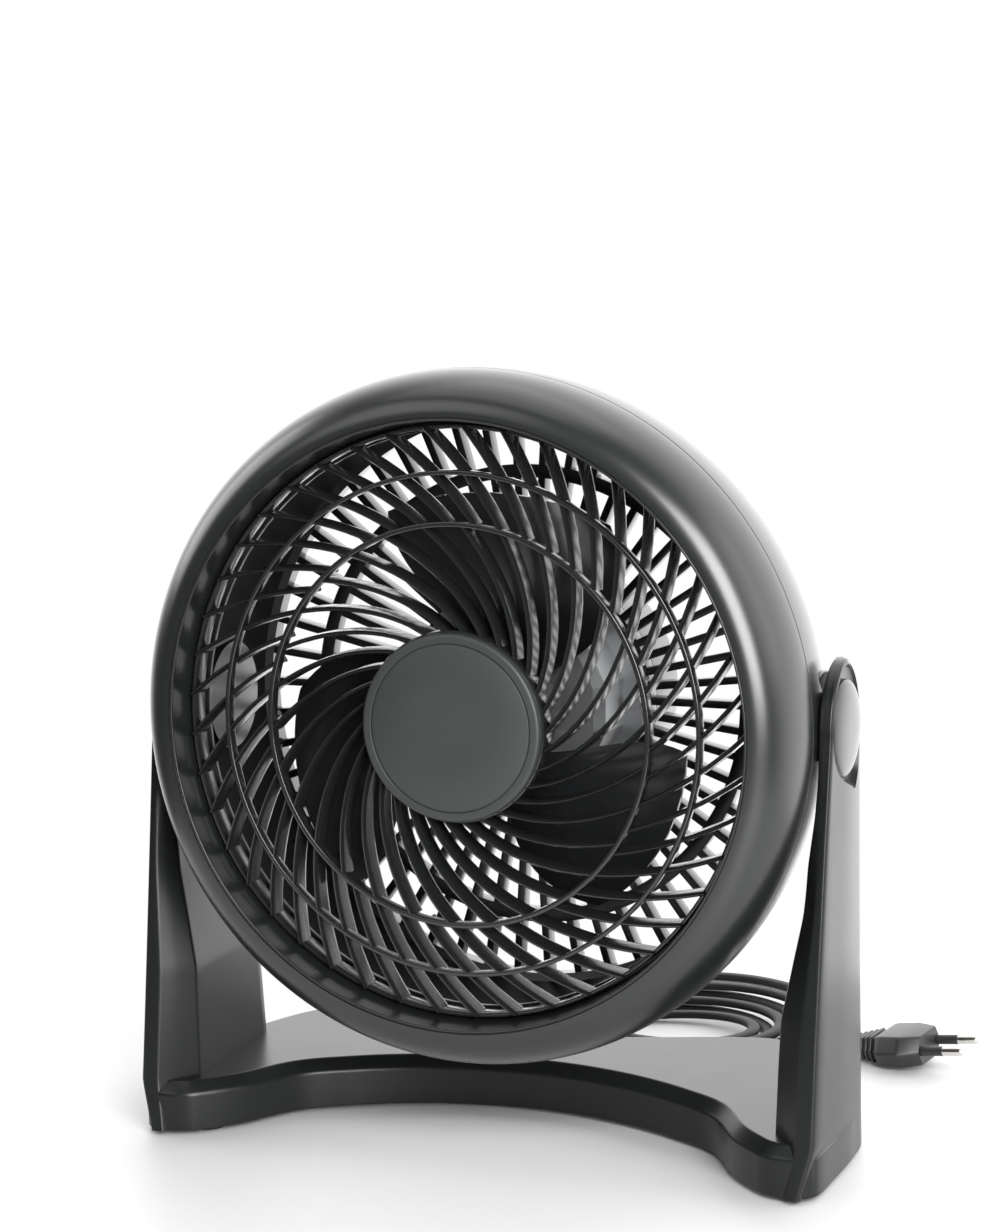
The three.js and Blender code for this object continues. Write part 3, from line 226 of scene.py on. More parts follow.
class Patchwork:
    """Collects closed bodies and makes them one mesh object."""

    def __init__(self) -> None:
        """Start with nothing collected."""
        self.points: list[np.ndarray] = []
        self.faces: list[np.ndarray] = []
        self.count = 0

    def add(self, grid: np.ndarray, wrap_rows: bool = False, wrap_columns: bool = True) -> None:
        """Add one closed body, given as a grid of points, with its faces turned outwards.

        Args:
            grid: rows by columns by 3.
            wrap_rows: whether the last row joins the first.
            wrap_columns: whether the last column joins the first.
        """
        rows, columns = grid.shape[:2]
        faces = grid_faces(rows, columns, wrap_rows, wrap_columns)
        points = grid.reshape(-1, 3)
        a, b, c, d = (points[faces[:, k]] for k in range(4))
        volume = np.einsum("ij,ij->i", a, np.cross(b, c) + np.cross(c, d)).sum()
        self.faces.append((faces if volume > 0 else faces[:, ::-1]) + self.count)
        self.points.append(points)
        self.count += len(points)

    def add_turned(self, profile: np.ndarray, axis: Axis, segments: int = 192,
                   shift: tuple = (0.0, 0.0, 0.0)) -> None:
        """Add a turned body, moved by shift: see turned."""
        self.add(turned(profile, axis, segments) + np.array(shift), wrap_rows=True)

    def build(self, name: str, body: Body, sharp: float = 32.0,
              place: Placing | None = None) -> bpy.types.Object:
        """Make the mesh object, with its double points merged.

        Args:
            name: the piece's name.
            body: what it rides on.
            sharp: edges bent by more than this many degrees stay crisp.
            place: takes the points in millimetres to their place.

        Returns:
            The object, riding on its body.
        """
        points = np.concatenate(self.points)
        if place is not None:
            points = place(points)
        mesh = bpy.data.meshes.new(name)
        faces = np.concatenate(self.faces)
        mesh.vertices.add(len(points))
        mesh.vertices.foreach_set("co", (points * MM).astype(np.float32).ravel())
        mesh.loops.add(faces.size)
        mesh.loops.foreach_set("vertex_index", faces.ravel().astype(np.int32))
        mesh.polygons.add(len(faces))
        mesh.polygons.foreach_set("loop_start", np.arange(0, faces.size, 4, dtype=np.int32))
        mesh.update(calc_edges=True)
        weld(mesh)
        return finished(name, mesh, body, sharp)


def weld(mesh: bpy.types.Mesh) -> None:
    """Merge points that lie on each other, and drop faces with no area."""
    work = bmesh.new()
    work.from_mesh(mesh)
    bmesh.ops.remove_doubles(work, verts=work.verts, dist=2e-6)
    bmesh.ops.dissolve_degenerate(work, edges=work.edges, dist=1e-7)
    work.to_mesh(mesh)
    work.free()


def finished(name: str, mesh: bpy.types.Mesh, body: Body, sharp: float) -> bpy.types.Object:
    """Link a mesh as a piece that rides on a body, shaded smooth but for its sharp edges."""
    mesh.polygons.foreach_set("use_smooth", np.ones(len(mesh.polygons), bool))
    mesh.set_sharp_from_angle(angle=math.radians(sharp))
    piece = bpy.data.objects.new(name, mesh)
    bpy.context.scene.collection.objects.link(piece)
    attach(piece, body.value)
    log.info("%s: %d faces", name, len(mesh.polygons))
    return piece


def turned_piece(name: str, profile: np.ndarray, axis: Axis, segments: int, body: Body,
                 sharp: float, place: Placing | None = None,
                 shift: tuple = (0.0, 0.0, 0.0)) -> bpy.types.Object:
    """Make a piece of one turned body: see Patchwork.add_turned and Patchwork.build."""
    work = Patchwork()
    work.add_turned(profile, axis, segments, shift)
    return work.build(name, body, sharp, place)


def closed_ends(piece: bpy.types.Object) -> bpy.types.Object:
    """Close the open ends of a piece's mesh."""
    work = bmesh.new()
    work.from_mesh(piece.data)
    bmesh.ops.holes_fill(work, edges=[edge for edge in work.edges if edge.is_boundary], sides=0)
    bmesh.ops.recalc_face_normals(work, faces=work.faces)
    work.to_mesh(piece.data)
    work.free()
    return piece


def combined(piece: bpy.types.Object, tools: list[bpy.types.Object], operation: str,
             sharp: float = 32.0) -> bpy.types.Object:
    """Join tools to a piece, or cut them out of it, and remove the tools."""
    for tool in tools:
        change = piece.modifiers.new("combine", "BOOLEAN")
        change.operation = operation
        change.solver = "EXACT"
        change.object = tool
    bpy.context.view_layer.update()
    seen = piece.evaluated_get(bpy.context.evaluated_depsgraph_get())
    mesh = bpy.data.meshes.new_from_object(seen)
    piece.modifiers.clear()
    piece.data = mesh
    mesh.polygons.foreach_set("use_smooth", np.ones(len(mesh.polygons), bool))
    mesh.set_sharp_from_angle(angle=math.radians(sharp))
    for tool in tools:
        bpy.data.objects.remove(tool)
    return piece


def head_place(points: np.ndarray) -> np.ndarray:
    """Turn the level head by its rest tilt about the pivot, and set it on the pivot."""
    c, s = math.cos(REST_TILT), math.sin(REST_TILT)
    turn = np.array([[1, 0, 0], [0, c, s], [0, -s, c]])
    return points @ turn.T + PIVOT


def pivot_place(points: np.ndarray) -> np.ndarray:
    """Set points drawn about the tilt axis on the pivot, without the tilt."""
    return points + PIVOT


def floor_place(points: np.ndarray) -> np.ndarray:
    """Move points drawn from the floor under the pivot to their place."""
    return points + np.array([0, PIVOT[1], 0])


# ---- Finishes -------------------------------------------------------------------------


class Nodes:
    """Adds and links the shader nodes of one material."""

    def __init__(self, name: str) -> None:
        """Make an empty material with a Principled shader."""
        self.material = bpy.data.materials.new(name)
        self.material.use_nodes = True
        self.tree = self.material.node_tree
        self.shader = self.tree.nodes["Principled BSDF"]

    def node(self, kind: str, **values: object) -> bpy.types.Node:
        """Add a node and set its properties."""
        made = self.tree.nodes.new(kind)
        for key, value in values.items():
            setattr(made, key, value)
        return made

    def link(self, source: bpy.types.NodeSocket, target: bpy.types.NodeSocket) -> None:
        """Link one socket to another."""
        self.tree.links.new(source, target)

    def noise(self, scale: float, detail: float = 2.0) -> bpy.types.NodeSocket:
        """Add a noise on Object coordinates and return its factor."""
        place = self.node("ShaderNodeTexCoord")
        texture = self.node("ShaderNodeTexNoise")
        texture.inputs["Scale"].default_value = scale
        texture.inputs["Detail"].default_value = detail
        self.link(place.outputs["Object"], texture.inputs["Vector"])
        return texture.outputs["Fac"]

    def ramp(self, source: bpy.types.NodeSocket, low: float, high: float) -> bpy.types.NodeSocket:
        """Map a factor of 0 to 1 on to low to high."""
        mapped = self.node("ShaderNodeMapRange")
        mapped.inputs["To Min"].default_value = low
        mapped.inputs["To Max"].default_value = high
        self.link(source, mapped.inputs["Value"])
        return mapped.outputs["Result"]

    def shade(self, source: bpy.types.NodeSocket, dark: tuple, light: tuple) -> None:
        """Let a factor choose the base colour between two colours."""
        mix = self.node("ShaderNodeMix", data_type="RGBA")
        mix.inputs[6].default_value = (*dark, 1)
        mix.inputs[7].default_value = (*light, 1)
        self.link(source, mix.inputs[0])
        self.link(mix.outputs[2], self.shader.inputs["Base Color"])

    def bump(self, source: bpy.types.NodeSocket, strength: float, distance: float) -> None:
        """Let a height factor raise the surface."""
        made = self.node("ShaderNodeBump")
        made.inputs["Strength"].default_value = strength
        made.inputs["Distance"].default_value = distance
        self.link(source, made.inputs["Height"])
        self.link(made.outputs["Normal"], self.shader.inputs["Normal"])


@dataclass(frozen=True)
class Moulded:
    """Moulded plastic or rubber: colour, gloss and the grain of its mould."""

    name: str
    colour: tuple
    roughness: float
    variation: float = 0.12
    grain: float = 2200.0
    grain_depth: float = 0.00003
    grain_strength: float = 0.12
    specular: float = 0.5

    def make(self) -> bpy.types.Material:
        """Build the material: a slow drift of tone and gloss, and a fine mould grain."""
        made = Nodes(self.name)
        drift = made.noise(24.0, 3.0)
        dark = tuple(c * (1 - self.variation) for c in self.colour)
        light = tuple(c * (1 + self.variation) for c in self.colour)
        made.shade(drift, dark, light)
        gloss = made.ramp(made.noise(60.0, 4.0), self.roughness * 0.93, self.roughness * 1.07)
        made.link(gloss, made.shader.inputs["Roughness"])
        made.bump(made.noise(self.grain, 2.0), self.grain_strength, self.grain_depth)
        made.shader.inputs["Specular IOR Level"].default_value = self.specular
        return made.material


@dataclass(frozen=True)
class Metal:
    """Bare or plated metal with fine drawn marks."""

    name: str
    colour: tuple
    roughness: float
    marks: float = 900.0

    def make(self) -> bpy.types.Material:
        """Build the material: fine marks change its gloss and tone slightly."""
        made = Nodes(self.name)
        marks = made.noise(self.marks, 3.0)
        made.shade(marks, tuple(c * 0.9 for c in self.colour), self.colour)
        gloss = made.ramp(marks, self.roughness * 0.8, self.roughness * 1.25)
        made.link(gloss, made.shader.inputs["Roughness"])
        made.shader.inputs["Metallic"].default_value = 1.0
        return made.material


SHELL = Moulded("satin_shell", (0.011, 0.0118, 0.0122), 0.28, specular=0.75)
STAND = Moulded("satin_stand", (0.0085, 0.0092, 0.0092), 0.31, specular=0.35)
DISC = Moulded("matt_disc", (0.031, 0.034, 0.033), 0.45)
GLOSS = Moulded("gloss_grille", (0.012, 0.0125, 0.013), 0.17, grain_strength=0.03, grain=700.0,
                specular=0.8)
BLADE = Moulded("blade_plastic", (0.018, 0.019, 0.02), 0.26, grain_strength=0.05)
RUBBER = Moulded("rubber", (0.012, 0.012, 0.012), 0.75, grain_strength=0.3)
CABLE = Moulded("cable", (0.016, 0.0165, 0.017), 0.42, grain_strength=0.15)
LEAD = Moulded("lead_jacket", (0.008, 0.0083, 0.0086), 0.55, grain_strength=0.15, specular=0.25)
SWITCH = Moulded("switch_body", (0.02, 0.02, 0.021), 0.35)
PIN = Metal("nickel_pin", (0.78, 0.76, 0.72), 0.2)
STEEL = Metal("zinc_steel", (0.56, 0.57, 0.58), 0.36)
CORE = Metal("laminations", (0.3, 0.31, 0.32), 0.5, 3000.0)
COPPER = Metal("copper_winding", (0.62, 0.28, 0.13), 0.35, 2500.0)
ALLOY = Metal("cast_alloy", (0.6, 0.61, 0.62), 0.5, 400.0)


class Wardrobe:
    """Makes each finish once and puts it on pieces and carried-over nodes."""

    def __init__(self) -> None:
        """Start with no finish made."""
        self.made: dict[str, bpy.types.Material] = {}

    def material(self, finish: Moulded | Metal) -> bpy.types.Material:
        """Return the finish's material, made the first time it is asked for."""
        if finish.name not in self.made:
            self.made[finish.name] = finish.make()
        return self.made[finish.name]

    def dress(self, piece: bpy.types.Object, finish: Moulded | Metal) -> None:
        """Give a new piece its finish."""
        piece.data.materials.clear()
        piece.data.materials.append(self.material(finish))

    def dress_node(self, name: str, finish: Moulded | Metal) -> None:
        """Give a carried-over node its finish."""
        for place in bpy.data.objects[name].material_slots:
            place.material = self.material(finish)


# ---- Head -----------------------------------------------------------------------------


@dataclass
class FrontBezel:
    """The swollen ring round the grille, with its thin lip and its throat."""

    lip_radius: float = 119.5
    bulge: float = 17.75
    rise: float = 27.5
    wall: float = 2.4
    throat_front: float = 118.4
    throat_rear: float = 116.8
    lip_depth: float = 1.9
    groove: float = 0.75
    ledge_width: float = 2.8
    ledge_rear: float = 1.0
    ledge_front: float = 3.5

    def skin(self, start: float, end: float, wall: float, count: int) -> np.ndarray:
        """Return the skin as a quarter ellipse: r = lip + bulge sin u, f = seam + rise cos u."""
        u = np.linspace(start, end, count) * np.pi / 2
        r = self.lip_radius + (self.bulge - wall) * np.sin(u)
        return np.stack([r, SEAM_F + (self.rise - wall) * np.cos(u)], axis=1)

    def profile(self) -> np.ndarray:
        """Return the closed outline: lip step, skin, seam edge, inside, throat and ledge."""
        edge, lip_f = self.lip_radius, SEAM_F + self.rise
        lip = rounded([[self.throat_front, lip_f - self.lip_depth],
                       [self.throat_front, lip_f - 0.05],
                       [edge - 0.15, lip_f - 0.1], [edge - 0.1, lip_f - self.groove],
                       [edge + 0.35, lip_f - self.groove], [edge + 0.45, lip_f]],
                      [0, 0.55, 0.4, 0.2, 0.25, 0], 4, closed=False)
        seam = [[edge + self.bulge, SEAM_F + 0.25], [edge + self.bulge - 0.3, SEAM_F],
                [edge + self.bulge - self.wall, SEAM_F]]
        ledge_r = self.throat_rear - self.ledge_width
        front, rear = SEAM_F + self.ledge_front, SEAM_F + self.ledge_rear
        throat = rounded([[self.throat_front + 2.2, lip_f - self.wall - 1],
                          [self.throat_rear + 2.2, rear], [ledge_r, rear], [ledge_r, front],
                          [self.throat_rear, front]], 0.5, 3, closed=False)
        return np.concatenate([lip, self.skin(0.07, 0.985, 0.0, 40), seam,
                               self.skin(0.97, 0.25, self.wall, 10), throat])

    def build(self, wardrobe: Wardrobe) -> None:
        """Build the bezel."""
        piece = turned_piece("bezel_ring", self.profile(), Axis.FRONT, 288, Body.HEAD, 30,
                             head_place)
        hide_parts("front_bezel")
        wardrobe.dress(piece, SHELL)


@dataclass
class SwirlGrille:
    """Thirty inner and forty-five outer vanes that swirl out from the hub, and two rings."""

    hub_radius: float = 37.5
    inner_ring: float = 78.4
    outer_ring: float = 98.1
    rim_radius: float = 116.2
    inner_vanes: int = 30
    outer_vanes: int = 45
    phase: float = math.radians(4)
    sweep: float = math.radians(54)
    crown_f: float = 46.5
    drop: float = 6.5
    power: float = 3.5
    depth: float = 10.0
    seat_f: float = 27.8
    front_half: float = 0.8
    rear_half: float = 1.15
    rim_wall: float = 1.5
    rim_step: float = 2.0
    bore_radius: float = 14.3

    def front_f(self, radius: np.ndarray) -> np.ndarray:
        """Return how far forwards the vanes' front lies: crown - drop (r / rim)^power."""
        return self.crown_f - self.drop * (radius / self.rim_radius) ** self.power

    def vane(self, inner: float, outer: float, turn: float) -> np.ndarray:
        """Return one vane along angle = phase + sweep ln(r / inner ring), thin at the front."""
        radius = np.linspace(inner, outer, 15)
        angle = self.phase + turn + self.sweep * np.log(radius / self.inner_ring)
        x, z = polar(radius, angle)
        rear = np.maximum(self.front_f(radius) - self.depth, self.seat_f)
        middle = (self.front_f(radius) + rear) / 2
        half = (self.front_f(radius) - rear) / 2
        path = np.stack([x, -middle, z], axis=1)
        outline = rounded([[-self.front_half, 1], [self.front_half, 1], [self.rear_half, -1],
                           [-self.rear_half, -1]], [0.6, 0.6, 0.3, 0.3], 2)
        ring = swept(path, outline * [1, 0], up=(0, -1, 0))
        heights = np.concatenate([[0], half, [0]])[:, None] * outline[:, 1][None, :]
        ring[..., 1] -= heights
        return ring

    def build(self, wardrobe: Wardrobe) -> None:
        """Build vanes, rings, rim and hub plate as one moulding."""
        work = Patchwork()
        for count, inner, outer in ((self.inner_vanes, self.hub_radius - 1.5, self.inner_ring),
                                    (self.outer_vanes, self.inner_ring, self.rim_radius - 0.4)):
            for k in range(count):
                work.add(self.vane(inner, outer, 2 * math.pi * k / count))
        for radius, half, depth in ((self.inner_ring, 1.0, 5.5), (self.outer_ring, 0.9, 5.0)):
            front = float(self.front_f(np.array(radius))) + 0.35
            ring = ring_profile(radius - half, radius + half, front, front - depth, 0.5, 3)
            work.add_turned(ring, Axis.FRONT, 216)
        front = float(self.front_f(np.array(self.rim_radius))) - self.rim_step
        work.add_turned(ring_profile(self.rim_radius - self.rim_wall, self.rim_radius, front,
                                     self.seat_f, 0.3, 2), Axis.FRONT, 216)
        bore, rear = self.bore_radius, self.crown_f - self.depth
        hub = [[bore, self.crown_f - 1], [self.hub_radius, self.crown_f - 0.3],
               [self.hub_radius, rear], [bore, rear]]
        work.add_turned(rounded(hub, 0.5, 2), Axis.FRONT, 144)
        piece = work.build("swirl_grille", Body.HEAD, 38, head_place)
        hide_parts("front_grille")
        wardrobe.dress(piece, GLOSS)


@dataclass
class HubCap:
    """Plain round cap with a shallow groove round its flat disc."""

    radius: float = 36.9
    disc_radius: float = 32.6
    back_f: float = 46.8
    height: float = 3.2
    spigot_radius: float = 13.7
    spigot_depth: float = 6.0

    def build(self, wardrobe: Wardrobe) -> None:
        """Build the cap."""
        face = self.back_f + self.height
        disc, spigot_end = self.disc_radius, self.back_f - self.spigot_depth
        flat = [[0, face - 0.15], [disc * 0.5, face - 0.15], [disc - 0.4, face - 0.15]]
        groove = [[disc - 0.1, face - 0.3], [disc, face - 0.8], [disc + 0.35, face - 0.85],
                  [disc + 0.5, face - 0.2]]
        rim = rounded([[disc + 0.7, face], [self.radius - 0.7, face - 0.2],
                       [self.radius, face - 1.6], [self.radius, self.back_f]],
                      [0.2, 1.4, 1.4, 0.2], 5, closed=False)
        spigot = [[self.spigot_radius, self.back_f], [self.spigot_radius, spigot_end],
                  [0, spigot_end]]
        profile = np.concatenate([flat, groove, rim, spigot])
        piece = turned_piece("hub_disc", profile, Axis.FRONT, 192, Body.HEAD, 28, head_place)
        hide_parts("hub_cap")
        wardrobe.dress(piece, DISC)


@dataclass
class RearHousing:
    """Bowl behind the bezel, with radial ribs at its back and a pivot boss at each side."""

    rim_radius: float = 137.25
    spigot_radius: float = 133.65
    depth: float = 60.0
    rear_radius: float = 121.75
    swell: float = 4.5
    wall: float = 2.4
    open_radius: float = 116.25
    grille_f: float = -38.0
    grille_depth: float = 7.0
    ribs: int = 54
    rib_width: float = 3.2
    ring_radius: float = 92.0
    ring_width: float = 5.5
    hub_radius: float = 52.0
    hub_inner: float = 40.9
    boss_radius: float = 22.0
    boss_end: float = 135.6
    spot_radius: float = 15.9
    lap: float = 4.0
    gap: float = 0.3

    def side(self, start: float, end: float, wall: float, count: int) -> np.ndarray:
        """Return the side from seam (0) to rear (1): a cone plus a bow of 4 s (1 - s)."""
        s = np.linspace(start, end, count)
        cone = self.rim_radius + (self.rear_radius - self.rim_radius) * s
        r = cone + self.swell * 4 * s * (1 - s)
        f = SEAM_F - self.gap - (self.depth - self.gap) * s
        return np.stack([r - wall, f], axis=1)

    def bowl(self) -> np.ndarray:
        """Return the closed outline of the bowl's wall with its rolled rear rim."""
        rear = self.grille_f - self.grille_depth - 0.5
        rim = rounded([[self.rear_radius, self.grille_f + 2], [self.rear_radius - 0.6, rear],
                       [self.open_radius, rear], [self.open_radius, self.grille_f + 0.5]],
                      [3, 2.6, 1.2, 0.4], 5, closed=False)
        return np.concatenate([
            [[self.spigot_radius, SEAM_F + self.lap],
             [self.spigot_radius, SEAM_F - self.gap],
             [self.rim_radius - 0.3, SEAM_F - self.gap]],
            self.side(0.006, 1, 0, 56), rim, self.side(1, 0.02, self.wall, 28),
            [[self.spigot_radius - self.wall, SEAM_F + self.lap]]])

    def rib(self, angle: float) -> np.ndarray:
        """Return one straight radial rib, slightly rounded along its edges."""
        radius = np.array([self.hub_radius - 1.5, 60, 75, 92, self.open_radius + 0.8])
        x, z = polar(radius, np.full(5, angle))
        path = np.stack([x, np.full(5, -self.grille_f + self.grille_depth / 2), z], axis=1)
        half_width, half_depth = self.rib_width / 2, self.grille_depth / 2
        outline = rounded([[-half_width, half_depth], [half_width, half_depth],
                           [half_width, -half_depth], [-half_width, -half_depth]], 0.5, 2)
        return swept(path, outline, up=(0, 1, 0))

    def build(self, wardrobe: Wardrobe) -> None:
        """Build bowl, ribs, rings and bosses as one moulding.

        Within the spot radius of the tilt axis the bowl is pressed flat, clear of the washers.
        """
        work = Patchwork()
        shell = turned(self.bowl(), Axis.FRONT, 576)
        spot = np.hypot(shell[..., 1], shell[..., 2]) < self.spot_radius
        limit = np.where(spot, self.boss_end + 0.1, np.inf)
        shell[..., 0] = np.clip(shell[..., 0], -limit, limit)
        work.add(shell, wrap_rows=True)
        for k in range(self.ribs):
            work.add(self.rib(2 * math.pi * k / self.ribs))
        rear = self.grille_f - self.grille_depth
        for inner, outer, step in ((self.ring_radius - self.ring_width / 2,
                                    self.ring_radius + self.ring_width / 2, 0.15),
                                   (self.hub_inner, self.hub_radius, 0.3)):
            ring = ring_profile(inner, outer, self.grille_f + step, rear - step, 0.5, 3)
            work.add_turned(ring, Axis.FRONT, 216)
        for side in (1, -1):
            boss = rounded([[0, 116], [self.boss_radius, 116], [self.boss_radius, self.boss_end],
                            [5, self.boss_end], [5, self.boss_end - 6], [0, self.boss_end - 6]],
                           [0, 0, 1.2, 0.4, 0, 0], 4, closed=False)
            work.add_turned(boss * [1, side], Axis.RIGHT, 96)
        piece = work.build("rear_bowl", Body.HEAD, 32, head_place)
        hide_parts("rear_housing")
        wardrobe.dress(piece, SHELL)


@dataclass
class Impeller:
    """Three broad pitched blades on a cup hub, with the nut that holds them."""

    blades: int = 3
    tip_radius: float = 88.0
    root_radius: float = 24.5
    span: float = math.radians(75)
    sweep: float = math.radians(22)
    front_f: float = 25.0
    rear_f: float = -3.0
    thickness: float = 2.2
    first: float = math.radians(64)
    columns: int = 22
    hub_radius: float = 26.0
    hub_front: float = 28.0
    hub_depth: float = 28.0
    hub_inner: float = 23.5
    sleeve_radius: float = 8.0
    bore_radius: float = 4.3

    def blade(self, centre: float) -> np.ndarray:
        """Return a blade as a loop of points round its edge section at each radius.

        At radius share s and width share w the angle is centre + sweep s + span (w - 1/2)
        (1 - (2s-1)^2 / 4), and the front lies at rear + (front - rear) w + 3 sin(pi w).
        """
        count = self.columns
        w = np.linspace(0, 1, count)
        s = np.concatenate([[0.0], w, [1.0]])[:, None]
        loop = np.concatenate([w, w[::-1]])[None, :]
        edge = 1 - np.abs(2 * loop - 1) ** 8
        side = np.repeat([0.0, 1.0], count)[None, :]
        open_rows = np.concatenate([[0.0], np.ones(count), [0.0]])[:, None]
        half = self.thickness / 2 * np.sqrt(np.clip(edge, 0.0, 1)) * open_rows
        radius = self.root_radius + (self.tip_radius - self.root_radius) * s
        narrow = 1 - 0.25 * (2 * s - 1) ** 2
        angle = centre + self.sweep * s + self.span * (loop - 0.5) * narrow
        middle = (self.rear_f + (self.front_f - self.rear_f) * loop
                  + 3 * np.sin(np.pi * loop) - self.thickness / 2)
        f = middle + half * (1 - 2 * side)
        x, z = polar(radius, angle)
        return np.stack([x, -np.broadcast_to(f, x.shape), z], axis=-1)

    def build(self, wardrobe: Wardrobe) -> None:
        """Build the impeller, and dress its nut."""
        work = Patchwork()
        for k in range(self.blades):
            work.add(self.blade(self.first + 2 * math.pi * k / self.blades))
        top, low = self.hub_front, self.hub_front - self.hub_depth
        bore, sleeve, inner = self.bore_radius, self.sleeve_radius, self.hub_inner
        cup = [[bore, top], [self.hub_radius, top], [self.hub_radius, low], [inner, low],
               [inner, top - 4], [sleeve, top - 4], [sleeve, low + 2], [bore, low + 2]]
        work.add_turned(rounded(cup, [0.3, 5, 0.6, 0.6, 2, 2, 0.4, 0.3], 6), Axis.FRONT, 128)
        piece = work.build("impeller_blades", Body.FAN, 40, head_place)
        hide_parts("impeller")
        wardrobe.dress(piece, BLADE)
        wardrobe.dress_node("impeller_nut", BLADE)


@dataclass
class MotorRear:
    """The cover behind the motor, and the speed knob in its middle."""

    radius: float = 52.0
    front_f: float = -45.3
    depth: float = 35.0
    wall: float = 2.2
    knob_radius: float = 16.0
    knob_height: float = 9.0
    grip_width: float = 6.0
    dish_radius: float = 19.5
    dish_depth: float = 0.8
    bore_radius: float = 3.6
    spindle_radius: float = 3.0

    def cover_profile(self) -> np.ndarray:
        """Return the cover's closed outline, with a shallow dish round the knob."""
        rear = self.front_f - self.depth
        inside = self.radius - self.wall
        return rounded([[inside, self.front_f], [self.radius, self.front_f],
                        [self.radius, self.front_f - 10], [self.radius - 0.8, rear],
                        [self.dish_radius + 1, rear], [self.dish_radius, rear + self.dish_depth],
                        [self.bore_radius, rear + self.dish_depth],
                        [self.bore_radius, rear + self.wall], [inside - 1, rear + self.wall]],
                       [0.3, 0.5, 2, 7, 0.6, 0.6, 0.2, 0.2, 5], 6)

    def build(self, wardrobe: Wardrobe) -> None:
        """Build the cover, and the knob with its grip bar."""
        rear = self.front_f - self.depth
        piece = turned_piece("cover_rear", self.cover_profile(), Axis.FRONT, 160, Body.HEAD, 30,
                             head_place)
        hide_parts("motor_cover")
        wardrobe.dress(piece, SHELL)
        seat = rear - 0.3
        back = seat - self.knob_height
        knob = Patchwork()
        spindle = [[0, rear + 9], [self.spindle_radius, rear + 9], [self.spindle_radius, seat]]
        dial = [[self.knob_radius, seat], [self.knob_radius - 1.2, back], [0, back]]
        knob.add_turned(rounded([*spindle, *dial], [0, 0.4, 0, 0.5, 2.4, 0], 6, closed=False),
                        Axis.FRONT, 96)
        along = np.linspace(-1, 1, 13)
        grip_path = np.stack([np.zeros(13), np.full(13, -back + 0.6),
                              along * self.knob_radius * 0.84], axis=1)
        swell = np.sqrt(np.clip(1 - along**6, 0.03, 1))
        half = self.grip_width / 2
        bar = rounded([[-half, -2], [-half * 0.8, 3.3], [half * 0.8, 3.3], [half, -2]],
                      [0.3, 1.1, 1.1, 0.3], 5)
        knob.add(swept(grip_path, bar, up=(0, 1, 0), swell=swell))
        made = knob.build("speed_dial", Body.KNOB, 30, head_place)
        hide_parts("speed_knob")
        wardrobe.dress(made, SHELL)


# ---- Stand ----------------------------------------------------------------------------


@dataclass
class Pivots:
    """Dome caps, washers and bolts of the two tilt pivots."""

    cap_radius: float = 19.0
    cap_height: float = 5.0
    cap_wall: float = 1.8
    rim: float = 1.0

    def dome(self) -> np.ndarray:
        """Return the hollow dome's outline: r = R cos^0.8 u, h = H sin^0.8 u, on a rim."""
        base = ARM_INNER + POCKET_FLOOR + 0.3
        crown = base + self.rim
        u, v = np.linspace(0, np.pi / 2, 22), np.linspace(np.pi / 2, 0, 10)
        outer = np.stack([self.cap_radius * np.cos(u) ** 0.8,
                          crown + (self.cap_height - self.rim) * np.sin(u) ** 0.8], axis=1)
        within = self.cap_radius - self.cap_wall
        inner = np.stack([within * np.cos(v),
                          crown + (self.cap_height - self.rim - self.cap_wall) * np.sin(v)], axis=1)
        outer[-1, 0] = inner[0, 0] = 0
        foot = rounded([[within, base + 0.7], [within, base], [self.cap_radius, base],
                        [self.cap_radius, base + 0.8]], 0.25, 3, closed=False)
        return np.concatenate([inner, foot, outer])

    def build(self, wardrobe: Wardrobe) -> None:
        """Build a cap for each side, and dress what is behind it."""
        for side, letter in ((1, "r"), (-1, "l")):
            piece = turned_piece(f"dome_cap_{letter}", self.dome() * [1, side], Axis.RIGHT, 128,
                                 Body.BASE, 35, pivot_place)
            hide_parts(f"pivot_cap_{letter}")
            wardrobe.dress(piece, SHELL)
            wardrobe.dress_node(f"pivot_washer_{letter}", RUBBER)
            wardrobe.dress_node(f"pivot_bolt_{letter}", STEEL)


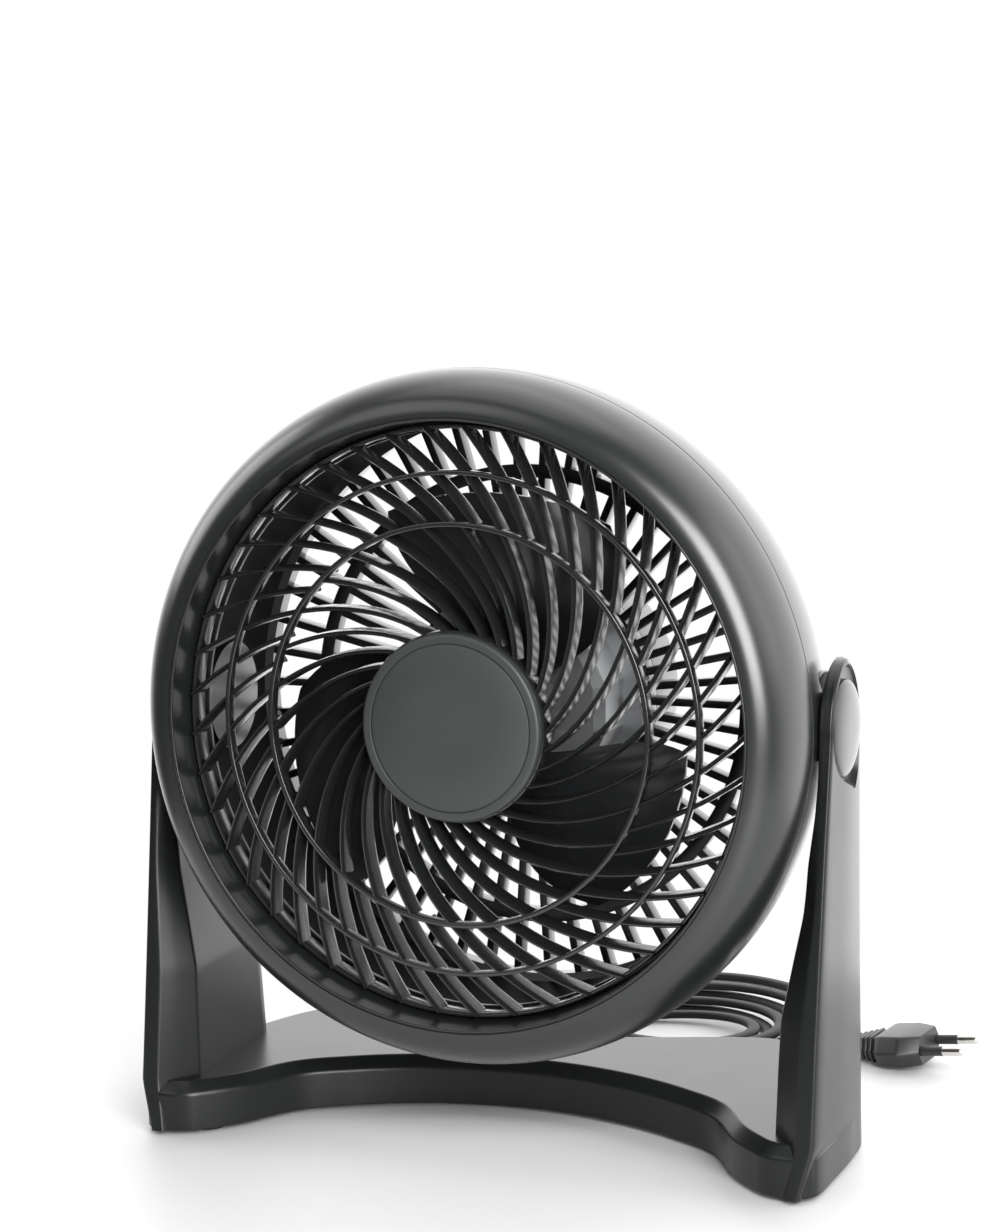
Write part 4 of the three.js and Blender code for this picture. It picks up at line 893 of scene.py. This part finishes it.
@dataclass
class Stand:
    """Flat base with a hollowed front and two rear lobes, and an arm up each side.

    spread is how much of the foot's spread is left, and wedges is how deep the front inner
    corner is cut back, both at shares of the height from the base plate to the pivot.
    """

    arm_outer: float = 5.4
    arm_edge: float = 3.4
    foot_spread: float = 15.6
    pivot_z: float = float(PIVOT[2])
    top_z: float = 22.0
    wall_top_z: float = 17.3
    under_z: float = 2.0
    bevel: float = 4.7
    wall: float = 2.4
    hollow_radius: float = 146.0
    hollow_half: float = 90.0
    hollow_y: float = 27.0
    toe_y: float = -45.0
    foot_front: float = -44.4
    front_draw: float = 24.2
    foot_rear: float = 36.5
    rear_draw: float = 7.0
    middle_y: float = 4.7
    spread: tuple = ((0, 1), (0.16, 0.95), (0.29, 0.9), (0.42, 0.65), (0.55, 0.39), (0.68, 0.26),
                     (0.8, 0.07), (0.9, 0), (1, 0))
    wedges: tuple = ((0, 15), (0.2, 12), (0.4, 10), (0.6, 8), (0.8, 2), (1, 1))
    ring_points: int = 72
    top_radius: float = 26.5
    bore_radius: float = 4.3

    def half_outline(self) -> list:
        """Return the base's right half seen from above, front to rear."""
        side = ARM_INNER + self.arm_outer
        centre = self.hollow_y - self.hollow_radius
        arc = [[x, centre + math.sqrt(self.hollow_radius**2 - x * x)]
               for x in np.linspace(0, 1, 6) * self.hollow_half]
        toe = [[side + x, y + self.toe_y] for x, y in ((-39, 18.5), (-26, 5.2), (-20, 1.4),
                                                       (-14, 0), (-7, 0.5), (-3, 3.5), (-1, 9))]
        flank = [[side - 0.4, -20], [side - 0.2, 5], [side - 2.5, 23], [side - 7, 36]]
        lobe = [[128.5, 58], [120, 73], [105, 87], [88, 94], [70, 91.5], [55, 87]]
        return arc + toe + flank + lobe + [[31, 79], [15, 75.2], [0, 74]]

    def outline(self) -> np.ndarray:
        """Return the whole base outline, mirrored and smoothed."""
        right = np.array(self.half_outline())
        left = right[1:-1][::-1] * [-1, 1]
        return smooth_line(np.concatenate([right, left]), 560, closed=True)

    def base(self) -> bpy.types.Object:
        """Build the base as a hollow shell: rings drawn in from its outline, closed at the top."""
        outline = self.outline()
        skin = rounded([[1.2, self.under_z], [0, self.under_z], [0, self.wall_top_z],
                        [self.bevel, self.top_z], [self.bevel + 1.2, self.top_z]],
                       [0, 0.7, 1.3, 1.3, 0], 5, closed=False)
        inside = [[self.wall + 2, self.top_z - self.wall], [self.wall, self.wall_top_z - 2],
                  [self.wall, self.under_z]]
        rings = [np.column_stack([inset(outline, d), np.full(len(outline), z)])
                 for d, z in [*inside, *skin]]
        count = len(outline)
        faces = grid_faces(len(rings), count, False, True).tolist()
        faces.append(list(range(count))[::-1])
        faces.append([(len(rings) - 1) * count + i for i in range(count)])
        mesh = bpy.data.meshes.new("fork_stand")
        mesh.from_pydata((floor_place(np.concatenate(rings)) * MM).tolist(), [], faces)
        work = bmesh.new()
        work.from_mesh(mesh)
        bmesh.ops.triangulate(work, faces=[face for face in work.faces if len(face.verts) > 4])
        bmesh.ops.recalc_face_normals(work, faces=work.faces)
        work.to_mesh(mesh)
        work.free()
        return finished("fork_stand", mesh, Body.BASE, 30)

    def plan(self, share: float, narrow: float) -> np.ndarray:
        """Return the right arm's rounded section at a share of the height to the pivot.

        Below a share of 0 the arm is drawn in, so that it ends inside the base.

        Args:
            share: 0 at the base plate, 1 at the pivot and above it.
            narrow: how far the section reaches from its middle, 1 but for the round top.

        Returns:
            The section's points, x and y, as seen from above.
        """
        low, high = min(share, 1.0), max(share, 0.0)
        up = high**1.6
        inner = ARM_INNER - self.foot_spread * float(np.interp(high, *np.array(self.spread).T))
        middle = self.middle_y
        front = middle + (self.foot_front + self.front_draw * low - middle) * narrow
        rear = middle + (self.foot_rear - self.rear_draw * low - middle) * narrow
        wedge = float(np.interp(high, *np.array(self.wedges).T)) * narrow
        thin = 1 - narrow**0.6
        edge = ARM_INNER + self.arm_edge + 1.3 * up - 1.6 * thin
        outer = ARM_INNER + self.arm_outer - 3.4 * thin
        span = rear - front
        if share < 0:
            edge -= 5 * min(1.0, -share * 7.7)
        nose = 0.7 * high**4 * narrow
        corners = [[edge - 0.4, front], [edge + 0.6, front + 1.4 * narrow],
                   [edge + 1.2 - 0.6 * up, front + (6 - 1.5 * up) * narrow],
                   [outer + 1.0 * up, front + span * 0.5],
                   [outer - 1.2 + 0.4 * up, front + span * 0.85],
                   [outer - 5.2 + 1.4 * up, rear], [inner + 1, rear],
                   [inner, rear - span * 0.06], [inner, front + wedge + 4 * narrow],
                   [inner - nose, front + wedge],
                   [inner - nose + 0.36 * (edge - inner), front + 0.44 * wedge],
                   [inner + 0.65 * (edge - inner), front + min(0.4, span * 0.01)]]
        radii = np.array([1.2, 2, 4, 12, 6, 2.4, 0.8, 1.2, 1.5, 1, 1.5, 1.0])
        return rounded(corners, radii * min(1.0, narrow + 0.15), 5)

    def level(self, share: float, narrow: float, z: float) -> np.ndarray:
        """Return the arm's section at a height: see plan."""
        return np.column_stack([self.plan(share, narrow), np.full(self.ring_points, z)])

    def arm(self, side: int) -> bpy.types.Object:
        """Build one arm as a stack of sections, with its round top."""
        rings = [self.level(share, 1.0, self.top_z + (self.pivot_z - self.top_z) * share)
                 for share in np.linspace(-0.13, 1, 60)]
        for angle in np.radians(np.linspace(0, 89.4, 26)[1:]):
            rings.append(self.level(1.0, math.cos(angle),
                                    self.pivot_z + self.top_radius * math.sin(angle)))
        grid = np.stack(rings)
        ends = grid[[0, -1]].mean(axis=1, keepdims=True) * np.ones((1, self.ring_points, 1))
        work = Patchwork()
        work.add(np.concatenate([ends[:1], grid, ends[1:]]) * [side, 1, 1])
        return work.build(f"arm_{side}", Body.BASE, 30, floor_place)

    def bore(self, side: int) -> bpy.types.Object:
        """Make a cylinder along the tilt axis to cut the bolt's hole with."""
        radius = self.bore_radius
        profile = np.array([[0, -20], [radius, -20], [radius, 19], [0, 19]]) + [0, ARM_INNER]
        return turned_piece("bore", profile * [1, side], Axis.RIGHT, 96, Body.BASE, 30, pivot_place)

    def pocket(self, side: int) -> bpy.types.Object:
        """Make the tool for the cap's recess: a round well with a drooping lower lip."""
        count, middle = 120, np.array([2, 0])
        lip = smooth_line([[-19.25, 0], [-18.3, 6.2], [-15.9, 12.2], [-12.2, 17.2], [-6.8, 21.6],
                           [0, 24.2], [8, 24.0], [16, 20], [21.6, 12.5], [23, 3], [21, -7],
                           [18.4, -17], [14.5, -22.5], [10.5, -25.4], [5, -23.4], [-5, -19.6],
                           [-12.5, -15], [-17.6, -8]], count, closed=True)
        floor = ARM_INNER + POCKET_FLOOR
        rings = [np.column_stack([np.full(count, x), (lip - middle) * scale + middle])
                 for x, scale in ((floor, 0.02), (floor, 0.925), (floor + 0.25, 0.945),
                                  (floor + 2.6, 1.0), (floor + 12, 1.06), (floor + 12, 0.02))]
        work = Patchwork()
        work.add(np.stack(rings) * [side, 1, 1])
        made = work.build("pocket", Body.BASE, 30, pivot_place)
        return closed_ends(made)

    def build(self, wardrobe: Wardrobe) -> None:
        """Build base and arms, join them, and cut the pivot pockets and bores."""
        stand = self.base()
        arms = []
        for side in (1, -1):
            tools = [self.pocket(side), self.bore(side)]
            arms.append(combined(self.arm(side), tools, "DIFFERENCE"))
        combined(stand, arms, "UNION", 30)
        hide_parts("stand")
        wardrobe.dress(stand, STAND)
        wardrobe.dress_node("stand_bottom", STAND)
        for k in range(1, 5):
            wardrobe.dress_node(f"foot_{k}", RUBBER)
            wardrobe.dress_node(f"base_screw_{k}", STEEL)


# ---- Cord and plug --------------------------------------------------------------------


@dataclass
class Cord:
    """Flat twin lead: out of the gland, round its loose coil, and on to the plug.

    The free stretches follow chosen points, measured from the floor under the pivot.
    """

    width: float = 5.6
    height: float = 3.4
    low_z: float = 2.0
    layer: float = 4.0
    centre_x: float = 26.0
    half_width: float = 34.0
    half_width_step: float = 10.0
    far_y: float = 171.0
    far_step: float = 19.0
    far_bend: float = 2.35
    near_y: float = 122.0
    near_step: float = -6.5
    loops_down: float = 3.0
    loops_up: float = 1.95
    lead: tuple = ((-54.37, 116.36, 11.0), (-52.64, 122.1, 10.9), (-50.0, 131.5, 9.0),
                   (-47.0, 143.0, 5.2), (-43.2, 154.0, 2.7), (-39.5, 162.95, 2.0),
                   (-38.2, 168.85, 2.0))
    tail: tuple = ((79.0, 173.5, 6.0), (80.6, 166.5, 6.1), (83.2, 159.5, 6.1), (86.6, 153.5, 6.0),
                   (90.0, 148.5, 5.5), (92.6, 145.6, 4.8), (94.5, 143.95, 4.4),
                   (96.39, 143.6, 4.26))

    def coil(self) -> np.ndarray:
        """Return the coil's line: ellipses whose size shrinks on the floor, then grows on top.

        At t turns the angle is pi - 2 pi t; the reach is what is left of the loops below,
        then what is past the half turn in which the line climbs.
        """
        turns = np.linspace(0, self.loops_down + 0.5 + self.loops_up, 400)
        down = self.loops_down
        reach = np.where(turns < down, down - turns, np.maximum(0, turns - down - 0.5))
        rise = np.clip((turns - down) / 0.5, 0, 1)
        rise = rise * rise * (3 - 2 * rise)
        angle = np.pi - 2 * np.pi * turns
        far = self.far_y + self.far_step * reach + self.far_bend * reach**2
        near = self.near_y + self.near_step * reach
        half = self.half_width + self.half_width_step * reach
        return np.stack([self.centre_x + half * np.cos(angle),
                         (far + near) / 2 + (far - near) / 2 * np.sin(angle),
                         self.low_z + self.layer * rise], axis=1)

    def route(self) -> np.ndarray:
        """Return the whole cord's line, from the gland to the plug's relief."""
        lead, tail = smooth_line(self.lead, 40), smooth_line(self.tail, 44)
        return smooth_line(np.concatenate([lead, self.coil(), tail])[::3], 760)

    def section(self) -> np.ndarray:
        """Return the twin lead's outline: two round cores side by side with a slight waist."""
        angle = np.linspace(0, 2 * np.pi, 20, endpoint=False)
        core = self.height / 2
        shift = (self.width - self.height) / 2
        x = core * np.cos(angle) + shift * np.tanh(3.2 * np.cos(angle))
        waist = 1 - 0.1 * np.exp(-((x / 0.55) ** 2))
        return np.stack([x, core * np.sin(angle) * waist], axis=1)

    def build(self, wardrobe: Wardrobe, plug_pieces: list) -> None:
        line = self.route()
        work = Patchwork()
        work.add(swept(line, self.section()))
        piece = work.build("mains_lead", Body.BASE, 40, floor_place)
        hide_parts("cord_lead", "cord_coil", "cord_tail")
        wardrobe.dress(piece, LEAD)
        path = floor_place(line) * MM
        tuple(path[0])
        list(plug_pieces)
        wardrobe.dress_node("cord_gland", CABLE)


@dataclass
class Plug:
    """Flat two-pin plug with its ribbed relief, drawn along its own axis from its face.

    Each ring of a rib is narrower and lower than the rib's crown by the first two numbers
    of its row in rib, and lies the third number along from where the rib starts.
    """

    face: tuple = (142.0, 138.0, 9.9)
    yaw: float = math.radians(-7)
    pitch: float = math.radians(7)
    width: float = 35.0
    height: float = 13.7
    length: float = 22.0
    relief: float = 24.0
    ribs: int = 9
    rib_pitch: float = 2.4
    rib_start: float = 2.6
    rib_size: tuple = (8.2, 5.6)
    rib_growth: tuple = (1.75, 0.74)
    rib: tuple = ((1.8, 1.6, -0.25), (0.3, 0.3, 0.0), (0.0, 0.0, 0.25), (0.0, 0.0, 1.05),
                  (0.3, 0.3, 1.3), (1.8, 1.6, 1.55))
    pin_radius: float = 2.0
    pin_length: float = 19.0
    pin_spacing: float = 18.6
    sleeve: float = 10.0

    def place(self, points: np.ndarray) -> np.ndarray:
        """Take points with z along the plug to where it lies."""
        along = np.array([math.cos(self.yaw) * math.cos(self.pitch),
                          math.sin(self.yaw) * math.cos(self.pitch), math.sin(self.pitch)])
        across = np.array([math.sin(self.yaw), -math.cos(self.yaw), 0.0])
        over = np.cross(along, across)
        moved = (points[:, :1] * across + points[:, 1:2] * over + points[:, 2:3] * along
                 + np.array(self.face))
        return floor_place(moved)

    def ring(self, width: float, height: float, z: float) -> np.ndarray:
        """Return one six-sided section with soft corners."""
        w, h = width / 2, height / 2
        flat = rounded([[w, 0], [0.72 * w, h], [-0.72 * w, h], [-w, 0], [-0.72 * w, -h],
                        [0.72 * w, -h]], min(1.2, 0.2 * h + 0.2), 4)
        return np.column_stack([flat, np.full(len(flat), z)])

    def body(self) -> np.ndarray:
        """Return the plug's rings: the ribbed relief, then the body that narrows to its face."""
        back, end = -self.length, -self.length - self.relief
        rings = [self.ring(2, 1, end), self.ring(6.6, 4.4, end), self.ring(7.0, 4.8, end + 0.4)]
        for k in range(self.ribs):
            z = end + self.rib_start + k * self.rib_pitch
            width, height = np.array(self.rib_size) + k * np.array(self.rib_growth)
            rings += [self.ring(width - less, height - lower, z + along)
                      for less, lower, along in self.rib]
        w, h = self.width, self.height
        shape = [(0.6, 0.76, back + 1.2), (0.78, 0.86, back + 1.6), (0.9, 0.95, back + 2.6),
                 (0.95, 1.0, back + 4.6), (0.97, 1.0, -10.2), (1.0, 1.0, -9.0),
                 (0.985, 0.995, -7.8), (0.76, 0.93, -0.6), (0.73, 0.9, 0.0), (0.02, 0.02, 0.0)]
        rings += [self.ring(w * a, h * b, z) for a, b, z in shape]
        return np.stack(rings)

    def build(self, wardrobe: Wardrobe) -> list:
        """Build body and pins, and return the pieces."""
        work = Patchwork()
        work.add(self.body())
        body = work.build("plug_shell", Body.BASE, 28, self.place)
        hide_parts("plug_body")
        wardrobe.dress(body, CABLE)
        pieces = [body]
        for side, letter in ((1, "r"), (-1, "l")):
            shift = (side * self.pin_spacing / 2, 0.0, 0.0)
            tip = rounded([[0, 0.3], [self.pin_radius, 0.3], [self.pin_radius, self.pin_length],
                           [0, self.pin_length]], [0, 0, 1.8, 0], 8, closed=False)
            metal = turned_piece(f"pin_{letter}", tip, Axis.UP, 40, Body.BASE, 30, self.place,
                                 shift)
            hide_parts(f"plug_pin_{letter}")
            wardrobe.dress(metal, PIN)
            inner, outer = self.pin_radius - 0.3, self.pin_radius + 0.06
            collar = [[inner, 0.2], [outer, 0.2], [outer, self.sleeve], [inner, self.sleeve]]
            sleeve = turned_piece(f"pin_sleeve_{letter}", collar, Axis.UP, 40, Body.BASE, 30,
                                  self.place, shift)
            wardrobe.dress(sleeve, CABLE)
            pieces += [metal, sleeve]
        return pieces


# ---- Motor inside ---------------------------------------------------------------------


class Motor:
    """The motor's own pieces, carried over as they are."""

    finishes = {
        "motor_shaft": STEEL, "bearing_front": STEEL, "bearing_rear": STEEL,
        "motor_screw_1": STEEL, "motor_screw_2": STEEL, "rotor": CORE, "stator_core": CORE,
        "winding_front": COPPER, "winding_rear": COPPER, "motor_bracket_front": ALLOY,
        "motor_bracket_rear": ALLOY, "speed_switch": SWITCH, "capacitor": SWITCH,
    }

    def build(self, wardrobe: Wardrobe) -> None:
        """Dress each piece."""
        for name, finish in self.finishes.items():
            wardrobe.dress_node(name, finish)


# ---- Studio ---------------------------------------------------------------------------


@dataclass
class Camera:
    """The photograph's camera, placed in millimetres from the floor under the pivot."""

    place: tuple = (467.0, -1177.0, 425.0)
    yaw: float = math.radians(21.55)
    pitch: float = math.radians(9.48)
    roll: float = math.radians(-1.17)
    focal_px: float = 3238.0
    sensor_mm: float = 36.0

    def build(self) -> None:
        """Set the camera up: it looks along yaw and pitch, turned by roll."""
        lens = bpy.data.cameras.new("camera")
        lens.sensor_fit = "HORIZONTAL"
        lens.sensor_width = self.sensor_mm
        lens.lens = self.focal_px / PHOTO_WIDTH * self.sensor_mm
        lens.clip_end = 50
        made = bpy.data.objects.new("camera", lens)
        bpy.context.scene.collection.objects.link(made)
        made.location = Vector(floor_place(np.array(self.place)) * MM)
        turn = Euler((math.pi / 2 - self.pitch, 0, self.yaw), "XYZ").to_matrix()
        roll = Euler((0, 0, self.roll), "XYZ").to_matrix()
        made.rotation_euler = (turn @ roll).to_euler("XYZ")
        bpy.context.scene.camera = made


@dataclass
class Lamp:
    """One soft area lamp."""

    name: str
    place: tuple
    aim: tuple
    size: tuple
    power: float

    def build(self) -> None:
        """Set the lamp up, facing its aim."""
        light = bpy.data.lights.new(self.name, "AREA")
        light.shape = "RECTANGLE"
        light.size, light.size_y = self.size
        light.energy = self.power
        made = bpy.data.objects.new(self.name, light)
        bpy.context.scene.collection.objects.link(made)
        made.location = self.place
        way = Vector(self.aim) - Vector(self.place)
        made.rotation_euler = way.to_track_quat("-Z", "Y").to_euler()


@dataclass
class Studio:
    """White table, white surround and soft lamps, placed in metres.

    front and rear are the surround's brightness ahead of the fan and behind it.
    """

    front: float = 0.13
    rear: float = 2.5
    rear_way: tuple = (0.3, 0.954, 0.0)
    table_radius: float = 0.543
    table_centre: tuple = (0.065, -0.281)
    edge_points: int = 256
    lamps: tuple = (
        Lamp("front_softbox", (0.80, -0.99, 0.62), (0, 0, 0.18), (0.66, 0.95), 29),
        Lamp("right_softbox", (1.5, -0.1, 0.9), (0, 0, 0.2), (1.0, 1.2), 5),
        Lamp("top_softbox", (-0.2, 0.1, 1.9), (0, 0, 0.1), (1.4, 1.4), 8),
        Lamp("left_softbox", (-1.3, 0.15, 0.75), (0, 0, 0.2), (0.8, 0.8), 7),
        Lamp("fill_softbox", (-0.75, -1.1, 1.3), (0, 0, 0.2), (1.1, 0.9), 5),
    )

    def world(self) -> None:
        """Make the surround: white to the camera, bright behind and dim in front to the rest."""
        world = bpy.data.worlds.new("surround")
        world.use_nodes = True
        bpy.context.scene.world = world
        tree = world.node_tree
        add, link = tree.nodes.new, tree.links.new
        back = tree.nodes["Background"]
        back.inputs["Color"].default_value = (1, 1, 1, 1)
        place, along = add("ShaderNodeTexCoord"), add("ShaderNodeVectorMath")
        along.operation = "DOT_PRODUCT"
        along.inputs[1].default_value = self.rear_way
        link(place.outputs["Generated"], along.inputs[0])
        facing = add("ShaderNodeMapRange")
        for name, value in (("From Min", -0.2), ("From Max", 0.8), ("To Min", self.front),
                            ("To Max", self.rear)):
            facing.inputs[name].default_value = value
        facing.interpolation_type = "SMOOTHSTEP"
        link(along.outputs["Value"], facing.inputs["Value"])
        path, span = add("ShaderNodeLightPath"), add("ShaderNodeMapRange")
        link(facing.outputs["Result"], span.inputs["To Min"])
        span.inputs["To Max"].default_value = 1.0
        link(path.outputs["Is Camera Ray"], span.inputs["Value"])
        link(span.outputs["Result"], back.inputs["Strength"])

    def table(self) -> None:
        """Make the round white table top that the fan stands on."""
        angle = np.linspace(0, 2 * np.pi, self.edge_points, endpoint=False)
        x, y = polar(np.full(self.edge_points, self.table_radius), angle)
        centre = np.array(self.table_centre)
        ring = np.stack([x + centre[0], y + centre[1], np.zeros(self.edge_points)], axis=1)
        mesh = bpy.data.meshes.new("table_top")
        mesh.from_pydata(ring.tolist(), [], [list(range(self.edge_points))])
        piece = bpy.data.objects.new("table_top", mesh)
        bpy.context.scene.collection.objects.link(piece)
        made = Nodes("white_table")
        made.shade(made.noise(3.0), (0.605, 0.605, 0.61), (0.625, 0.625, 0.63))
        made.shader.inputs["Roughness"].default_value = 0.5
        piece.data.materials.append(made.material)

    def build(self) -> None:
        """Build surround, table and lamps."""
        self.world()
        self.table()
        for lamp in self.lamps:
            lamp.build()
        bpy.context.scene.view_settings.view_transform = "Standard"


# ---- Assembly -------------------------------------------------------------------------


def main() -> None:
    """Build and dress the fan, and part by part."""
    logging.basicConfig(level=logging.INFO, format="%(name)s: %(message)s")
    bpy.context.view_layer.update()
    wardrobe = Wardrobe()
    Camera().build()
    plug_pieces = Plug().build(wardrobe)
    Cord().build(wardrobe, plug_pieces)
    for assembly in (FrontBezel(), SwirlGrille(), HubCap(), RearHousing(), Impeller(), MotorRear(),
                     Motor(), Pivots(), Stand()):
        log.info("building %s", type(assembly).__name__)
        assembly.build(wardrobe)
    Studio().build()


if __name__ == "__main__":
    main()
